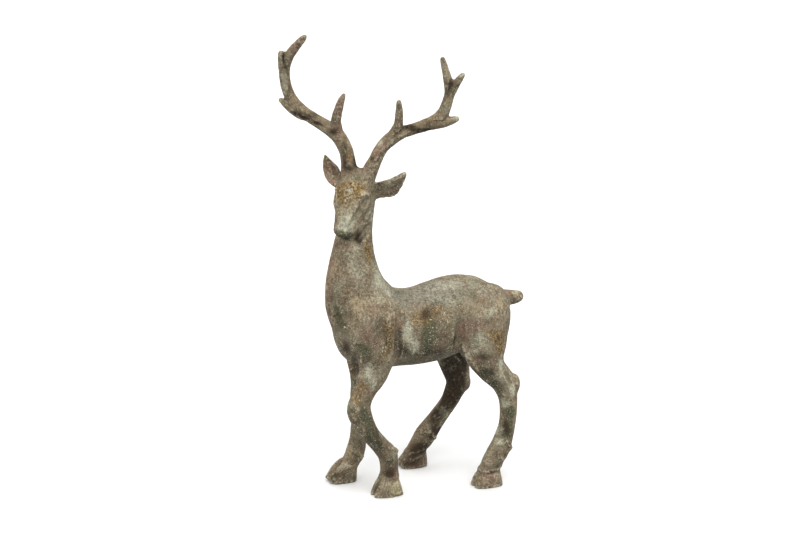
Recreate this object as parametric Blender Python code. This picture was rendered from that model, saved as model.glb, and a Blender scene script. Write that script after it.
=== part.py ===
"""Standing reindeer figurine, cast in one piece.

The deer faces -Y and its own left side is +X. All sizes are in millimetres until the
shells are made. A shell is a closed skin around a path of rings. The shells of one
stage overlap and are fused by a voxel remesh, then relaxed, so the limbs flow into
the trunk as they do in a casting.
"""

import math

import bmesh
import bpy
import numpy as np
from mathutils import Matrix, Vector

MM = 0.001

# Driving dimensions
ORIGIN_SHIFT = (-3.7, -2.5)
TRUNK_VOXEL = 2.2
DETAIL_VOXEL = 1.2
TRUNK_RELAX = 32
DETAIL_RELAX = 5
FACES_KEPT = 9800
RING_POINTS = 28
RINGS_PER_SPAN = 5
SOLE_DEPTH = 3.0
DOME_RINGS = 3
MASS_SEGMENTS = (32, 20)
GROUND_SLAB = (600.0, 600.0, 100.0)

# Trunk rings from the breast to the rump: y, centre height, half width, half height
TRUNK = (
    (-67, 180, 20, 23),
    (-58, 172, 28, 34),
    (-45, 164, 33, 41),
    (-24, 161.6, 34, 39.6),
    (-4, 160, 34, 38.8),
    (18, 162.2, 34, 40.4),
    (40, 168, 34, 40),
    (60, 170.8, 33, 37.8),
    (74, 173, 30, 32.8),
    (85, 174, 23, 23.6),
)

# Neck rings from inside the breast to the skull: x, y, z, half width, half depth
NECK = (
    (0, -50, 158, 24, 30),
    (0, -57, 186, 25, 31),
    (0, -61, 206, 25, 30),
    (0, -62.6, 222, 23.5, 25.8),
    (0, -62.8, 237, 20.5, 21.6),
    (1, -61.8, 252, 17.4, 18.8),
    (2, -59.3, 268, 15, 16.2),
    (3, -57.2, 286, 14.5, 16.4),
    (4, -56, 302, 14, 16.4),
)

# Muscle masses: centre and radii; shoulder and haunch are mirrored to the other side
SHOULDER = ((21.5, -49, 163), (14, 27, 40))
BREAST = ((0, -70.6, 192), (23, 20, 30))
WITHERS = ((0, -42, 196), (16, 21, 18))
HAUNCH = ((21, 68, 166), (17, 31, 36))

# Legs: y, z, half depth, half width from inside the trunk down to the coronet
FORE_LEFT = (
    (-47, 178, 26, 16),
    (-48, 152, 20, 14.5),
    (-48.4, 133, 17.2, 12.7),
    (-53, 121, 14.3, 11.5),
    (-60, 110, 12, 10.5),
    (-65, 99, 11, 10),
    (-67.5, 89, 12, 11),
    (-63, 76, 10.8, 10),
    (-55, 62.5, 9, 8.6),
    (-45.8, 51, 8.8, 8.6),
    (-37.6, 40.5, 9.8, 9.6),
    (-36.2, 27, 8.8, 9),
    (-36.3, 17.5, 10.2, 10),
)
FORE_RIGHT = (
    (-46, 178, 26, 16),
    (-45.5, 150, 18, 14),
    (-45.8, 128, 14.3, 12),
    (-44.6, 110, 11, 10.5),
    (-44, 95, 10.9, 10.5),
    (-44.5, 81, 11, 10.8),
    (-45, 66, 9, 9.2),
    (-46.2, 52, 8.6, 8.6),
    (-47.2, 40, 8.8, 8.8),
    (-50, 28, 9.7, 9.6),
    (-54.8, 19, 8.8, 9.2),
    (-58.2, 12, 8.8, 10),
)
HIND_LEFT = (
    (66, 172, 29, 17),
    (66.6, 146, 25.4, 16),
    (67.6, 129, 21.8, 14.5),
    (73.5, 116, 15, 12.8),
    (83.5, 105, 13, 11.4),
    (88.3, 95, 11.4, 10.2),
    (90.5, 84, 9.8, 9.2),
    (90.1, 71.5, 8.8, 8.6),
    (88.2, 59, 8.6, 8.6),
    (84, 47, 9.5, 9.2),
    (78.3, 35, 11, 10),
    (69.8, 24, 10.4, 9.8),
    (66, 14, 11.2, 10.4),
)
HIND_RIGHT = (
    (60, 165, 27, 16),
    (56.5, 138, 22.5, 14.5),
    (59.3, 116, 17.8, 13),
    (65, 100, 14.8, 12),
    (66.6, 86, 11.6, 10.8),
    (59.9, 69, 9.5, 9.6),
    (50.6, 56, 9.2, 9.2),
    (41.5, 44, 10, 9.4),
    (33.4, 32.5, 11.6, 10.2),
    (26, 22, 10.2, 9.8),
    (23, 14, 10.8, 10.4),
)
# For each leg: its rings, x at the first and at the last of them, the hoof centre's y,
# and how far the hoof leans back for each millimetre of its height
LEGS = (
    (FORE_LEFT, 23, 26.5, -38.5, 0.1),
    (FORE_RIGHT, -23, -28.5, -65.6, 0.42),
    (HIND_LEFT, 24, 42.5, 63.2, 0.22),
    (HIND_RIGHT, -24, -41, 19, 0.35),
)
# The first rings of a leg are relaxed with the trunk. The leg proper starts from thinner
# rings inside it, given as shares of their full width.
RINGS_IN_TRUNK = 6
LEG_ROOT_TAPER = ((1, 0.55), (2, 0.88))
LEG_PROPER = 3
# Bony points behind the hocks: centre and radii
HOCKS = (
    ((34, 97, 99), (7, 6.5, 11)),
    ((-33, 75.5, 87), (7, 6.5, 11)),
)

# One claw of a hoof: height, half width, half length
CLAW = (
    (-SOLE_DEPTH, 6.4, 15.8),
    (3, 6.2, 14.8),
    (9, 5.9, 12.6),
    (15, 5.2, 9.8),
    (20, 3.6, 5.8),
)
CLAW_SPREAD = 5.6
CLAW_SPLAY = 4.0

# Tail stub: y, z, half width, half depth
TAIL = (
    (88, 183.6, 8.5, 9),
    (102, 180.6, 7.6, 8.4),
    (112, 179.5, 7.6, 8),
    (118.5, 179.8, 6.4, 6.6),
)

# Head, drawn level with its nose toward -Y, then nodded, tilted and turned
HEAD_PLACE = (5.5, -62.5, 301.5)
HEAD_NOD = 59.0
HEAD_TILT = 8.0
HEAD_TURN = 50.0
# y, centre height, half width, half height
HEAD = (
    (10, -2, 12.5, 12),
    (0, -1, 16.6, 16),
    (-10, -1.5, 18.2, 17),
    (-18, -3, 17, 15.5),
    (-26, -5, 14, 13.2),
    (-33.5, -6.3, 11.8, 11.2),
    (-39.5, -6.6, 10.4, 9),
)

# Antlers in the tilted and turned frame of the head: x, y, z and radius.
# The beam comes first, then the brow tine, the low tine and the outer top tine.
ANTLER_RIGHT = (
    (
        (-7.5, 3, 4, 8.2),
        (-9, 4.5, 15, 7.8),
        (-11.9, 6.5, 24.5, 7.1),
        (-17, 9, 35, 7),
        (-26.6, 11, 45, 7.2),
        (-38, 14, 50.5, 6.8),
        (-50.5, 16, 55, 6.3),
        (-63.5, 17, 60, 6.3),
        (-74.5, 17, 66.3, 6.4),
        (-81.5, 16, 75, 5.8),
        (-86, 13, 87, 5.6),
        (-87, 9, 101, 5.5),
        (-81.5, 4, 114.5, 5),
        (-73.6, 0, 125, 4.4),
        (-66, -4, 134, 3.0),
    ),
    (
        (-27.5, 11, 47, 6.2),
        (-29.2, 8, 58, 5.4),
        (-27.6, 4, 68, 4.6),
        (-24.8, 1, 78, 3.9),
        (-21.8, -1.5, 86, 2.5),
    ),
    (
        (-66, 17, 58.3, 5.6),
        (-77, 18, 61.7, 5),
        (-85.5, 18, 66, 3.9),
        (-90.5, 17, 69, 2.8),
    ),
    (
        (-87, 10, 94, 5),
        (-89.5, 6, 106, 4.3),
        (-89.8, 2, 115, 3.0),
    ),
)
ANTLER_LEFT = (
    (
        (8.5, 3, 5, 8),
        (11.6, 5, 19, 7.6),
        (14.3, 7, 28.5, 6.7),
        (17.3, 8.5, 38.4, 6.5),
        (21.8, 10, 46.6, 6.7),
        (28.4, 12, 53, 6.7),
        (36, 14, 59, 6.1),
        (49, 16, 65, 6),
        (59, 17, 70.5, 6.2),
        (67, 17, 77, 5.9),
        (72.2, 16, 85.5, 5.5),
        (75.2, 12.5, 100, 4.8),
        (74.1, 8, 112, 4.4),
        (71.2, 5, 121, 4),
        (67.1, 1, 133.4, 2.8),
    ),
    (
        (27.6, 11, 53.5, 6),
        (31.8, 8, 65, 4.7),
        (32.5, 5, 75, 4.2),
        (31.8, 1, 87.6, 3),
    ),
    (
        (62, 17, 70.2, 5.5),
        (75, 18, 74.4, 4.7),
        (85.5, 17, 79.6, 3),
    ),
    (
        (76, 12, 101, 4.7),
        (80.9, 9, 111, 4.3),
        (86.9, 6, 121.4, 2.9),
    ),
)

# Ears in the same frame as the antlers: x, y, z, half width, half thickness, and cup,
# the share of the front half's thickness that is hollowed away
EAR_SECTION_POWER = 0.6
EAR_LEFT = (
    (10, 4, -3, 5.5, 5.5, 0.0),
    (17, 6, -2.4, 7.8, 5.5, 0.7),
    (25, 7, 0.8, 10.8, 5.5, 1.45),
    (32.5, 8, 4.2, 11.6, 5, 1.5),
    (40, 8, 12.8, 7, 4, 1.1),
    (45, 8, 21, 2.4, 2.2, 0.0),
)
EAR_RIGHT = (
    (-10, 4, 0, 5.5, 5.5, 0.0),
    (-17, 5, 3, 7.5, 5.5, 0.7),
    (-23.6, 7, 7, 9.2, 5.5, 1.45),
    (-28.7, 8, 13, 8.6, 5, 1.5),
    (-33, 8, 19.3, 5, 4, 1.1),
    (-36, 8, 25, 2, 2, 0.0),
)

# Carved marks: centre, radii and height; below zero is a hollow. Those of the head are
# in its nodded frame and those of the body in the deer's; each is made on both sides.
HEAD_MARKS = (
    ((15.5, -13, 4.5), (8, 7, 6.5), -2.6),
    ((12.5, -9, 12), (7, 7, 5), 1.8),
    ((13, -25, 0), (5, 9, 7), -1.6),
    ((14.5, -3, -9), (7, 9, 8), 1.3),
    ((5.2, -46.5, -3), (2.6, 2.6, 2.6), -1.6),
    ((6.5, -42, -2), (5, 5, 5), 0.8),
    ((5, -42, -12), (6, 6, 2.2), -0.9),
)
BODY_MARKS = (
    ((34, -27, 170), (14, 8, 38), -2.6),
    ((32, 37, 158), (14, 8, 30), -2.4),
    ((0, -88, 158), (6, 12, 26), -0.7),
    ((0, 108, 156), (7, 16, 24), -1.2),
    ((26, -62, 118), (12, 12, 12), 1.0),
)
EAR_FACING_LEFT = Vector((0.1, -0.8, -0.6))
EAR_FACING_RIGHT = Vector((0.5, -0.85, 0.1))

FINISH_COLOUR = (0.235, 0.205, 0.16, 1.0)
FINISH_ROUGHNESS = 0.82


def clear_scene():
    for obj in list(bpy.data.objects):
        bpy.data.objects.remove(obj, do_unlink=True)


def turned(x=0.0, y=0.0, z=0.0):
    """Rotation about X, then Y, then Z, in degrees."""
    return (
        Matrix.Rotation(math.radians(z), 4, "Z")
        @ Matrix.Rotation(math.radians(y), 4, "Y")
        @ Matrix.Rotation(math.radians(x), 4, "X")
    )


def between(before, start, end, after, share):
    """Catmull-Rom value at a share of the span from start to end."""
    return 0.5 * (
        2 * start
        + (end - before) * share
        + (2 * before - 5 * start + 4 * end - after) * share**2
        + (3 * start - before - 3 * end + after) * share**3
    )


def finer(stations):
    """The stations with smoothly interpolated ones between them."""
    last = len(stations) - 1
    rows = []
    for i in range(last):
        around = [stations[min(max(i + step, 0), last)] for step in (-1, 0, 1, 2)]
        for part in range(RINGS_PER_SPAN):
            share = part / RINGS_PER_SPAN
            rows.append([between(*values, share) for values in zip(*around)])
    rows.append(list(stations[last]))
    return rows


def with_domes(rows):
    """Rows of x, y, z, half width, half depth, cup with a rounded end at each side."""
    def dome(end, inner):
        out = (Vector(end[:3]) - Vector(inner[:3])).normalized()
        reach = min(end[3], end[4])
        made = []
        for step in range(1, DOME_RINGS + 1):
            angle = math.pi / 2 * step / (DOME_RINGS + 1)
            place = Vector(end[:3]) + out * reach * math.sin(angle)
            shrink = math.cos(angle)
            made.append([*place, end[3] * shrink, end[4] * shrink, end[5]])
        tip = Vector(end[:3]) + out * reach
        return made, tip

    first, first_tip = dome(rows[0], rows[1])
    final, final_tip = dome(rows[-1], rows[-2])
    return first[::-1] + rows + final, first_tip, final_tip


def shell(bm, stations, side, placed=Matrix.Identity(4), flat_ends=False):
    """Adds a closed skin. A station is x, y, z, half width along side, half depth, cup."""
    rows = finer([list(station) + [0.0] * (6 - len(station)) for station in stations])
    if flat_ends:
        first_tip, final_tip = Vector(rows[0][:3]), Vector(rows[-1][:3])
    else:
        rows, first_tip, final_tip = with_domes(rows)
    centres = [Vector(row[:3]) for row in rows]
    rings = []
    for i, row in enumerate(rows):
        along = centres[min(i + 1, len(rows) - 1)] - centres[max(i - 1, 0)]
        along.normalize()
        wide = (side - along * side.dot(along)).normalized()
        deep = along.cross(wide)
        ring = []
        for k in range(RING_POINTS):
            angle = 2 * math.pi * k / RING_POINTS
            depth = math.sin(angle)
            if row[5] > 0:
                depth = math.copysign(abs(depth) ** EAR_SECTION_POWER, depth)
            if depth > 0:
                depth *= 1 - row[5]
            place = centres[i] + wide * row[3] * math.cos(angle) + deep * row[4] * depth
            ring.append(bm.verts.new(placed @ place * MM))
        rings.append(ring)
    for ring, following in zip(rings, rings[1:]):
        for k in range(RING_POINTS):
            after = (k + 1) % RING_POINTS
            bm.faces.new((ring[k], ring[after], following[after], following[k]))
    for ring, tip, order in ((rings[0], first_tip, -1), (rings[-1], final_tip, 1)):
        pole = bm.verts.new(placed @ tip * MM)
        for k in range(RING_POINTS):
            corners = (ring[k], ring[(k + 1) % RING_POINTS], pole)
            bm.faces.new(corners[::order])


def mass(bm, centre, radii):
    """Adds an ellipsoid."""
    size = Matrix.Diagonal((*(radius * MM for radius in radii), 1.0))
    place = Matrix.Translation(Vector(centre) * MM)
    across, up = MASS_SEGMENTS
    bmesh.ops.create_uvsphere(
        bm, u_segments=across, v_segments=up, radius=1.0, matrix=place @ size
    )


def mirrored(point):
    return (-point[0], point[1], point[2])


def fused(name, bm, voxel, relax):
    """One object from overlapping shells, remeshed and relaxed."""
    mesh = bpy.data.meshes.new(name)
    bmesh.ops.recalc_face_normals(bm, faces=bm.faces)
    bm.to_mesh(mesh)
    bm.free()
    obj = bpy.data.objects.new(name, mesh)
    bpy.context.scene.collection.objects.link(obj)
    remesh = obj.modifiers.new("Fuse", "REMESH")
    remesh.mode = "VOXEL"
    remesh.voxel_size = voxel * MM
    smooth = obj.modifiers.new("Relax", "SMOOTH")
    smooth.factor = 0.5
    smooth.iterations = relax
    return obj


def settled(obj):
    """The object's mesh with its modifiers worked in; the object is removed."""
    graph = bpy.context.evaluated_depsgraph_get()
    mesh = bpy.data.meshes.new_from_object(obj.evaluated_get(graph))
    bpy.data.objects.remove(obj, do_unlink=True)
    return mesh


def carve(mesh, marks, frame):
    """Raises or hollows the surface along its normals around each mark and its mirror."""
    count = len(mesh.vertices)
    places = np.empty(count * 3)
    mesh.vertices.foreach_get("co", places)
    places = places.reshape(-1, 3)
    normals = np.empty(count * 3)
    mesh.vertex_normals.foreach_get("vector", normals)
    normals = normals.reshape(-1, 3)
    inverse = np.array(frame.inverted())
    local = (places / MM) @ inverse[:3, :3].T + inverse[:3, 3]
    height = np.zeros(count)
    for centre, radii, rise in marks:
        middles = (centre, mirrored(centre)) if centre[0] else (centre,)
        for middle in middles:
            reach = (((local - middle) / radii) ** 2).sum(axis=1)
            height += rise * np.clip(1 - reach, 0, None) ** 2
    places += normals * height[:, None] * MM
    mesh.vertices.foreach_set("co", places.ravel())
    mesh.update()


def leg_stations(rings, top_x, foot_x):
    """Leg rings with x eased from the trunk to the foot."""
    top, foot = rings[0][1], rings[-1][1]
    stations = []
    for y, z, deep, wide in rings:
        share = (top - z) / (top - foot)
        stations.append((top_x + (foot_x - top_x) * share, y, z, wide, deep))
    return stations


def make_trunk():
    """Torso, neck, muscle masses and the upper legs, relaxed strongly."""
    bm = bmesh.new()
    side = Vector((1, 0, 0))
    shell(bm, [(0, y, z, wide, high) for y, z, wide, high in TRUNK], side)
    shell(bm, NECK, side)
    mass(bm, *BREAST)
    mass(bm, *WITHERS)
    for centre, radii in (SHOULDER, HAUNCH):
        mass(bm, centre, radii)
        mass(bm, mirrored(centre), radii)
    for rings, top_x, foot_x, _, _ in LEGS:
        shell(bm, leg_stations(rings, top_x, foot_x)[:RINGS_IN_TRUNK], side)
    return settled(fused("trunk", bm, TRUNK_VOXEL, TRUNK_RELAX))


def add_legs(bm):
    side = Vector((1, 0, 0))
    for rings, top_x, foot_x, hoof_y, lean in LEGS:
        stations = leg_stations(rings, top_x, foot_x)
        root = []
        for i, taper in LEG_ROOT_TAPER:
            x, y, z, wide, deep = stations[i]
            root.append((x, y, z, wide * taper, deep * taper))
        shell(bm, root + stations[LEG_PROPER:], side)
        for way in (-1, 1):
            turn = Matrix.Translation((foot_x, hoof_y, 0)) @ turned(z=-way * CLAW_SPLAY)
            claw = [
                (way * CLAW_SPREAD, lean * height, height, wide, long)
                for height, wide, long in CLAW
            ]
            shell(bm, claw, side, turn, flat_ends=True)
    for centre, radii in HOCKS:
        mass(bm, centre, radii)


def crown_frame():
    """Where the antlers and ears stand: the head turned and tilted, but not nodded."""
    return Matrix.Translation(HEAD_PLACE) @ turned(z=HEAD_TURN) @ turned(y=HEAD_TILT)


def skull_frame():
    return crown_frame() @ turned(x=HEAD_NOD)


def add_head(bm):
    side = Vector((1, 0, 0))
    skull, crown = skull_frame(), crown_frame()
    shell(bm, [(0, y, z, wide, high) for y, z, wide, high in HEAD], side, skull)
    for antler in (ANTLER_RIGHT, ANTLER_LEFT):
        for branch in antler:
            stations = [(x, y, z, radius, radius) for x, y, z, radius in branch]
            shell(bm, stations, Vector((0, 1, 0)), crown)
    for stations, facing in ((EAR_LEFT, EAR_FACING_LEFT), (EAR_RIGHT, EAR_FACING_RIGHT)):
        along = Vector(stations[-1][:3]) - Vector(stations[0][:3])
        shell(bm, stations, facing.cross(along).normalized(), crown)


def make_reindeer():
    bm = bmesh.new()
    trunk = make_trunk()
    bm.from_mesh(trunk)
    bpy.data.meshes.remove(trunk)
    add_legs(bm)
    shell(bm, [(0, *ring) for ring in TAIL], Vector((1, 0, 0)))
    add_head(bm)
    mesh = settled(fused("reindeer", bm, DETAIL_VOXEL, DETAIL_RELAX))
    mesh.name = "reindeer"
    carve(mesh, HEAD_MARKS, skull_frame())
    carve(mesh, BODY_MARKS, Matrix.Identity(4))
    mesh.transform(Matrix.Translation((ORIGIN_SHIFT[0] * MM, ORIGIN_SHIFT[1] * MM, 0)))
    obj = bpy.data.objects.new("reindeer", mesh)
    bpy.context.scene.collection.objects.link(obj)
    thin = obj.modifiers.new("Facets", "DECIMATE")
    thin.ratio = FACES_KEPT / (2 * len(mesh.polygons))
    return obj


def make_ground():
    """The slab that trims the hooves flat."""
    mesh = bpy.data.meshes.new("ground_cutter")
    bm = bmesh.new()
    wide, long, thick = (size * MM for size in GROUND_SLAB)
    below = Matrix.Translation((0, 0, -thick / 2))
    stretch = Matrix.Diagonal((wide, long, thick, 1))
    bmesh.ops.create_cube(bm, size=1.0, matrix=below @ stretch)
    bm.to_mesh(mesh)
    bm.free()
    slab = bpy.data.objects.new("ground_cutter", mesh)
    bpy.context.scene.collection.objects.link(slab)
    slab.hide_render = True
    slab.display_type = "WIRE"
    return slab


def finish_material():
    material = bpy.data.materials.new("aged_cast_finish")
    material.use_nodes = True
    shader = material.node_tree.nodes["Principled BSDF"]
    shader.inputs["Base Color"].default_value = FINISH_COLOUR
    shader.inputs["Roughness"].default_value = FINISH_ROUGHNESS
    shader.inputs["Metallic"].default_value = 0.0
    return material


def main():
    clear_scene()
    reindeer = make_reindeer()
    cut = reindeer.modifiers.new("Soles", "BOOLEAN")
    cut.operation = "DIFFERENCE"
    cut.solver = "EXACT"
    cut.object = make_ground()
    reindeer.data.shade_smooth()
    reindeer.data.materials.append(finish_material())


main()
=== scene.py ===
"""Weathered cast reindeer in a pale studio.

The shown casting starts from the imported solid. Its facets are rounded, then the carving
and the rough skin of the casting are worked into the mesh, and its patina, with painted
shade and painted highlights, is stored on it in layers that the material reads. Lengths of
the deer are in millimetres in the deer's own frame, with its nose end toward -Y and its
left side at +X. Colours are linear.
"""

import math

import bmesh
import bpy
import numpy as np
from mathutils import Matrix, Vector
from mathutils.bvhtree import BVHTree


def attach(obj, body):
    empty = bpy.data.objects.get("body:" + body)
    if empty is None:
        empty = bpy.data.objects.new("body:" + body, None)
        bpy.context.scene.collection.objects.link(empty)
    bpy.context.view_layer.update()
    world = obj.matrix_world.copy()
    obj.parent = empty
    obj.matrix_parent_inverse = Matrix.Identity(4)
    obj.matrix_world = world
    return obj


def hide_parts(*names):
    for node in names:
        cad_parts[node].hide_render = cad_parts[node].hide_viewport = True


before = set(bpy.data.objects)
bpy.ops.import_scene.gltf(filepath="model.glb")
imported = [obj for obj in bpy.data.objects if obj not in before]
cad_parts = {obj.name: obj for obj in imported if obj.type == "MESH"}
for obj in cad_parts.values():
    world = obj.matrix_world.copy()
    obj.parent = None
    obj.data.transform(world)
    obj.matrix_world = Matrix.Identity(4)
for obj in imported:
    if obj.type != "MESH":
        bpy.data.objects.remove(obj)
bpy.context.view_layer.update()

# Metres in a millimetre, and the shift from the deer's own frame to the model's
MM = 0.001
ORIGIN_SHIFT = Vector((-3.7, -2.5, 0.0))

# Camera: azimuth and elevation in degrees, distance and target in millimetres
CAMERA_AZIMUTH = 66.0
CAMERA_ELEVATION = 11.0
CAMERA_DISTANCE = 1400.0
CAMERA_TARGET = (-32.7, -2.5, 215.0)
LENS = 63.0
SENSOR = 36.0

# Studio: half the floor's side in metres, and each sun's name, azimuth, elevation,
# strength and softness
FLOOR_HALF = 400.0
FLOOR_COLOUR = (0.94, 0.94, 0.93)
SUNS = (
    ("key", 82, 56, 1.3, 45),
    ("fill", 250, 40, 0.3, 60),
)

# Mesh: weld distance in metres, voxel in millimetres
WELD = 0.00001
ROUNDING_LEVELS = 2
SKIN_VOXEL = 0.8
SKIN_RELAX = 4
TRIANGLES_KEPT = 192000

# Height where the antlers begin, and the length over which their finish takes over
ANTLER_FROM = 322
ANTLER_BLEND = 14

# Rough skin of the casting: size and height of its lumps, then its pits, whose width is a
# share of their spacing, and the height above the sole at which the skin is at full depth
SWELL_SIZE = 14
SWELL_HEIGHT = 0.35
KNURL_SIZE = 8
KNURL_HEIGHT = 0.45
SAND_SIZE = 4.5
SAND_HEIGHT = 0.16
PIT_SPACING = 5.5
PIT_WIDTH = 0.22
PIT_DEPTH = 0.35
UNPITTED_SHARE = 0.72
SOLE_FADE = 3

# Wear: smoothing passes, and how far a fully worn place stands proud. Painted shade and
# dirt in sheltered places: the rays that look for shelter, their length, start and lean, and
# how much of the painted shade and dirt is taken away in the thinned places
WEAR_PASSES = 8
FULL_WEAR = 0.5
SHELTER_RAYS = 12
SHELTER_REACH = 30.0
SHELTER_LIFT = 0.3
SHELTER_LEAN = 1.02
SHADE_AND_DIRT_THINNING = 0.4

# Frames of the head, as in the solid
HEAD_PLACE = (5.5, -62.5, 301.5)
HEAD_NOD = 59.0
HEAD_TILT = 8.0
HEAD_TURN = 50.0


def turned(x=0.0, y=0.0, z=0.0):
    """Rotation about X, then Y, then Z, in degrees."""
    return (
        Matrix.Rotation(math.radians(z), 4, "Z")
        @ Matrix.Rotation(math.radians(y), 4, "Y")
        @ Matrix.Rotation(math.radians(x), 4, "X")
    )


BODY = Matrix.Identity(4)
CROWN = Matrix.Translation(HEAD_PLACE) @ turned(z=HEAD_TURN) @ turned(y=HEAD_TILT)
SKULL = CROWN @ turned(x=HEAD_NOD)

# Colours of the finish
BROWN_DEEP = (0.031, 0.019, 0.009)
BROWN = (0.128, 0.094, 0.058)
TAUPE = (0.222, 0.175, 0.112)
BEIGE = (0.335, 0.292, 0.20)
WARM_BEIGE = (0.38, 0.305, 0.19)
GREEN_GREY = (0.225, 0.232, 0.152)
PINK_BROWN = (0.245, 0.152, 0.105)
PALE_GREY = (0.465, 0.455, 0.34)
COOL_GREY = (0.195, 0.186, 0.153)
DARK_GREEN = (0.086, 0.088, 0.049)
RUST_DEEP = (0.085, 0.050, 0.018)
RUST = (0.18, 0.112, 0.038)
GOLD = (0.31, 0.20, 0.078)
CREAM = (0.37, 0.315, 0.185)
ANTLER_DARK = (0.075, 0.050, 0.028)
ANTLER_WARM = (0.225, 0.165, 0.100)
ANTLER_PALE = (0.40, 0.33, 0.205)
# Colour of the painted shade and dirt in sheltered places
SHADE_AND_DIRT = (0.032, 0.025, 0.016)
WORN = (0.42, 0.38, 0.275)
PALE_SPECK = (0.46, 0.44, 0.345)
DARK_SPECK = (0.045, 0.040, 0.026)
FLECK = (0.52, 0.48, 0.33)
GRAIN_DARK = (0.5, 0.5, 0.5)
GRAIN_EVEN = (1.0, 1.0, 1.0)
GRAIN_LIGHT = (1.6, 1.58, 1.5)

# Sizes of the finish's noises in millimetres
BROAD_SIZE = 38
HUE_SIZE = 24
MIDDLE_SIZE = 11
CRUST_SIZE = 4.4
FINE_SIZE = 2.6
GRIT_SIZE = 1.1

# Shares in the finish
ANTLER_TONE = 0.6
ANTLER_SMOOTH = 0.45
FLECK_PULL = 0.13
RAG_SHARE = 0.7
ROUGHEST = 0.9
SMOOTHEST = 0.62
SPECULAR = 0.14
BUMP_STRENGTH = 0.6
BUMP_DEPTH = 0.0006

# Coats in the order they lie: layer, colour (none for rust), most it covers, where it
# starts and ends, and how ragged its edge is
COATS = (
    ("beige", WARM_BEIGE, 0.85, 0.1, 0.95, 1.5),
    ("haze", COOL_GREY, 0.85, 0.1, 0.95, 1.5),
    ("pink", PINK_BROWN, 0.85, 0.1, 0.95, 1.5),
    ("green", DARK_GREEN, 0.9, 0.1, 0.95, 1.5),
    ("ochre", None, 0.9, 0.0, 0.95, 1.1),
    # The dark coat lays dark patina and painted shade; the pale and cream coats lay pale patina and
    # painted highlights
    ("dark", BROWN_DEEP, 0.95, 0.05, 0.95, 1.1),
    ("pale", PALE_GREY, 0.85, 0.05, 0.95, 1.0),
    ("cream", CREAM, 0.95, 0.3, 0.7, 0.8),
)
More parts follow.
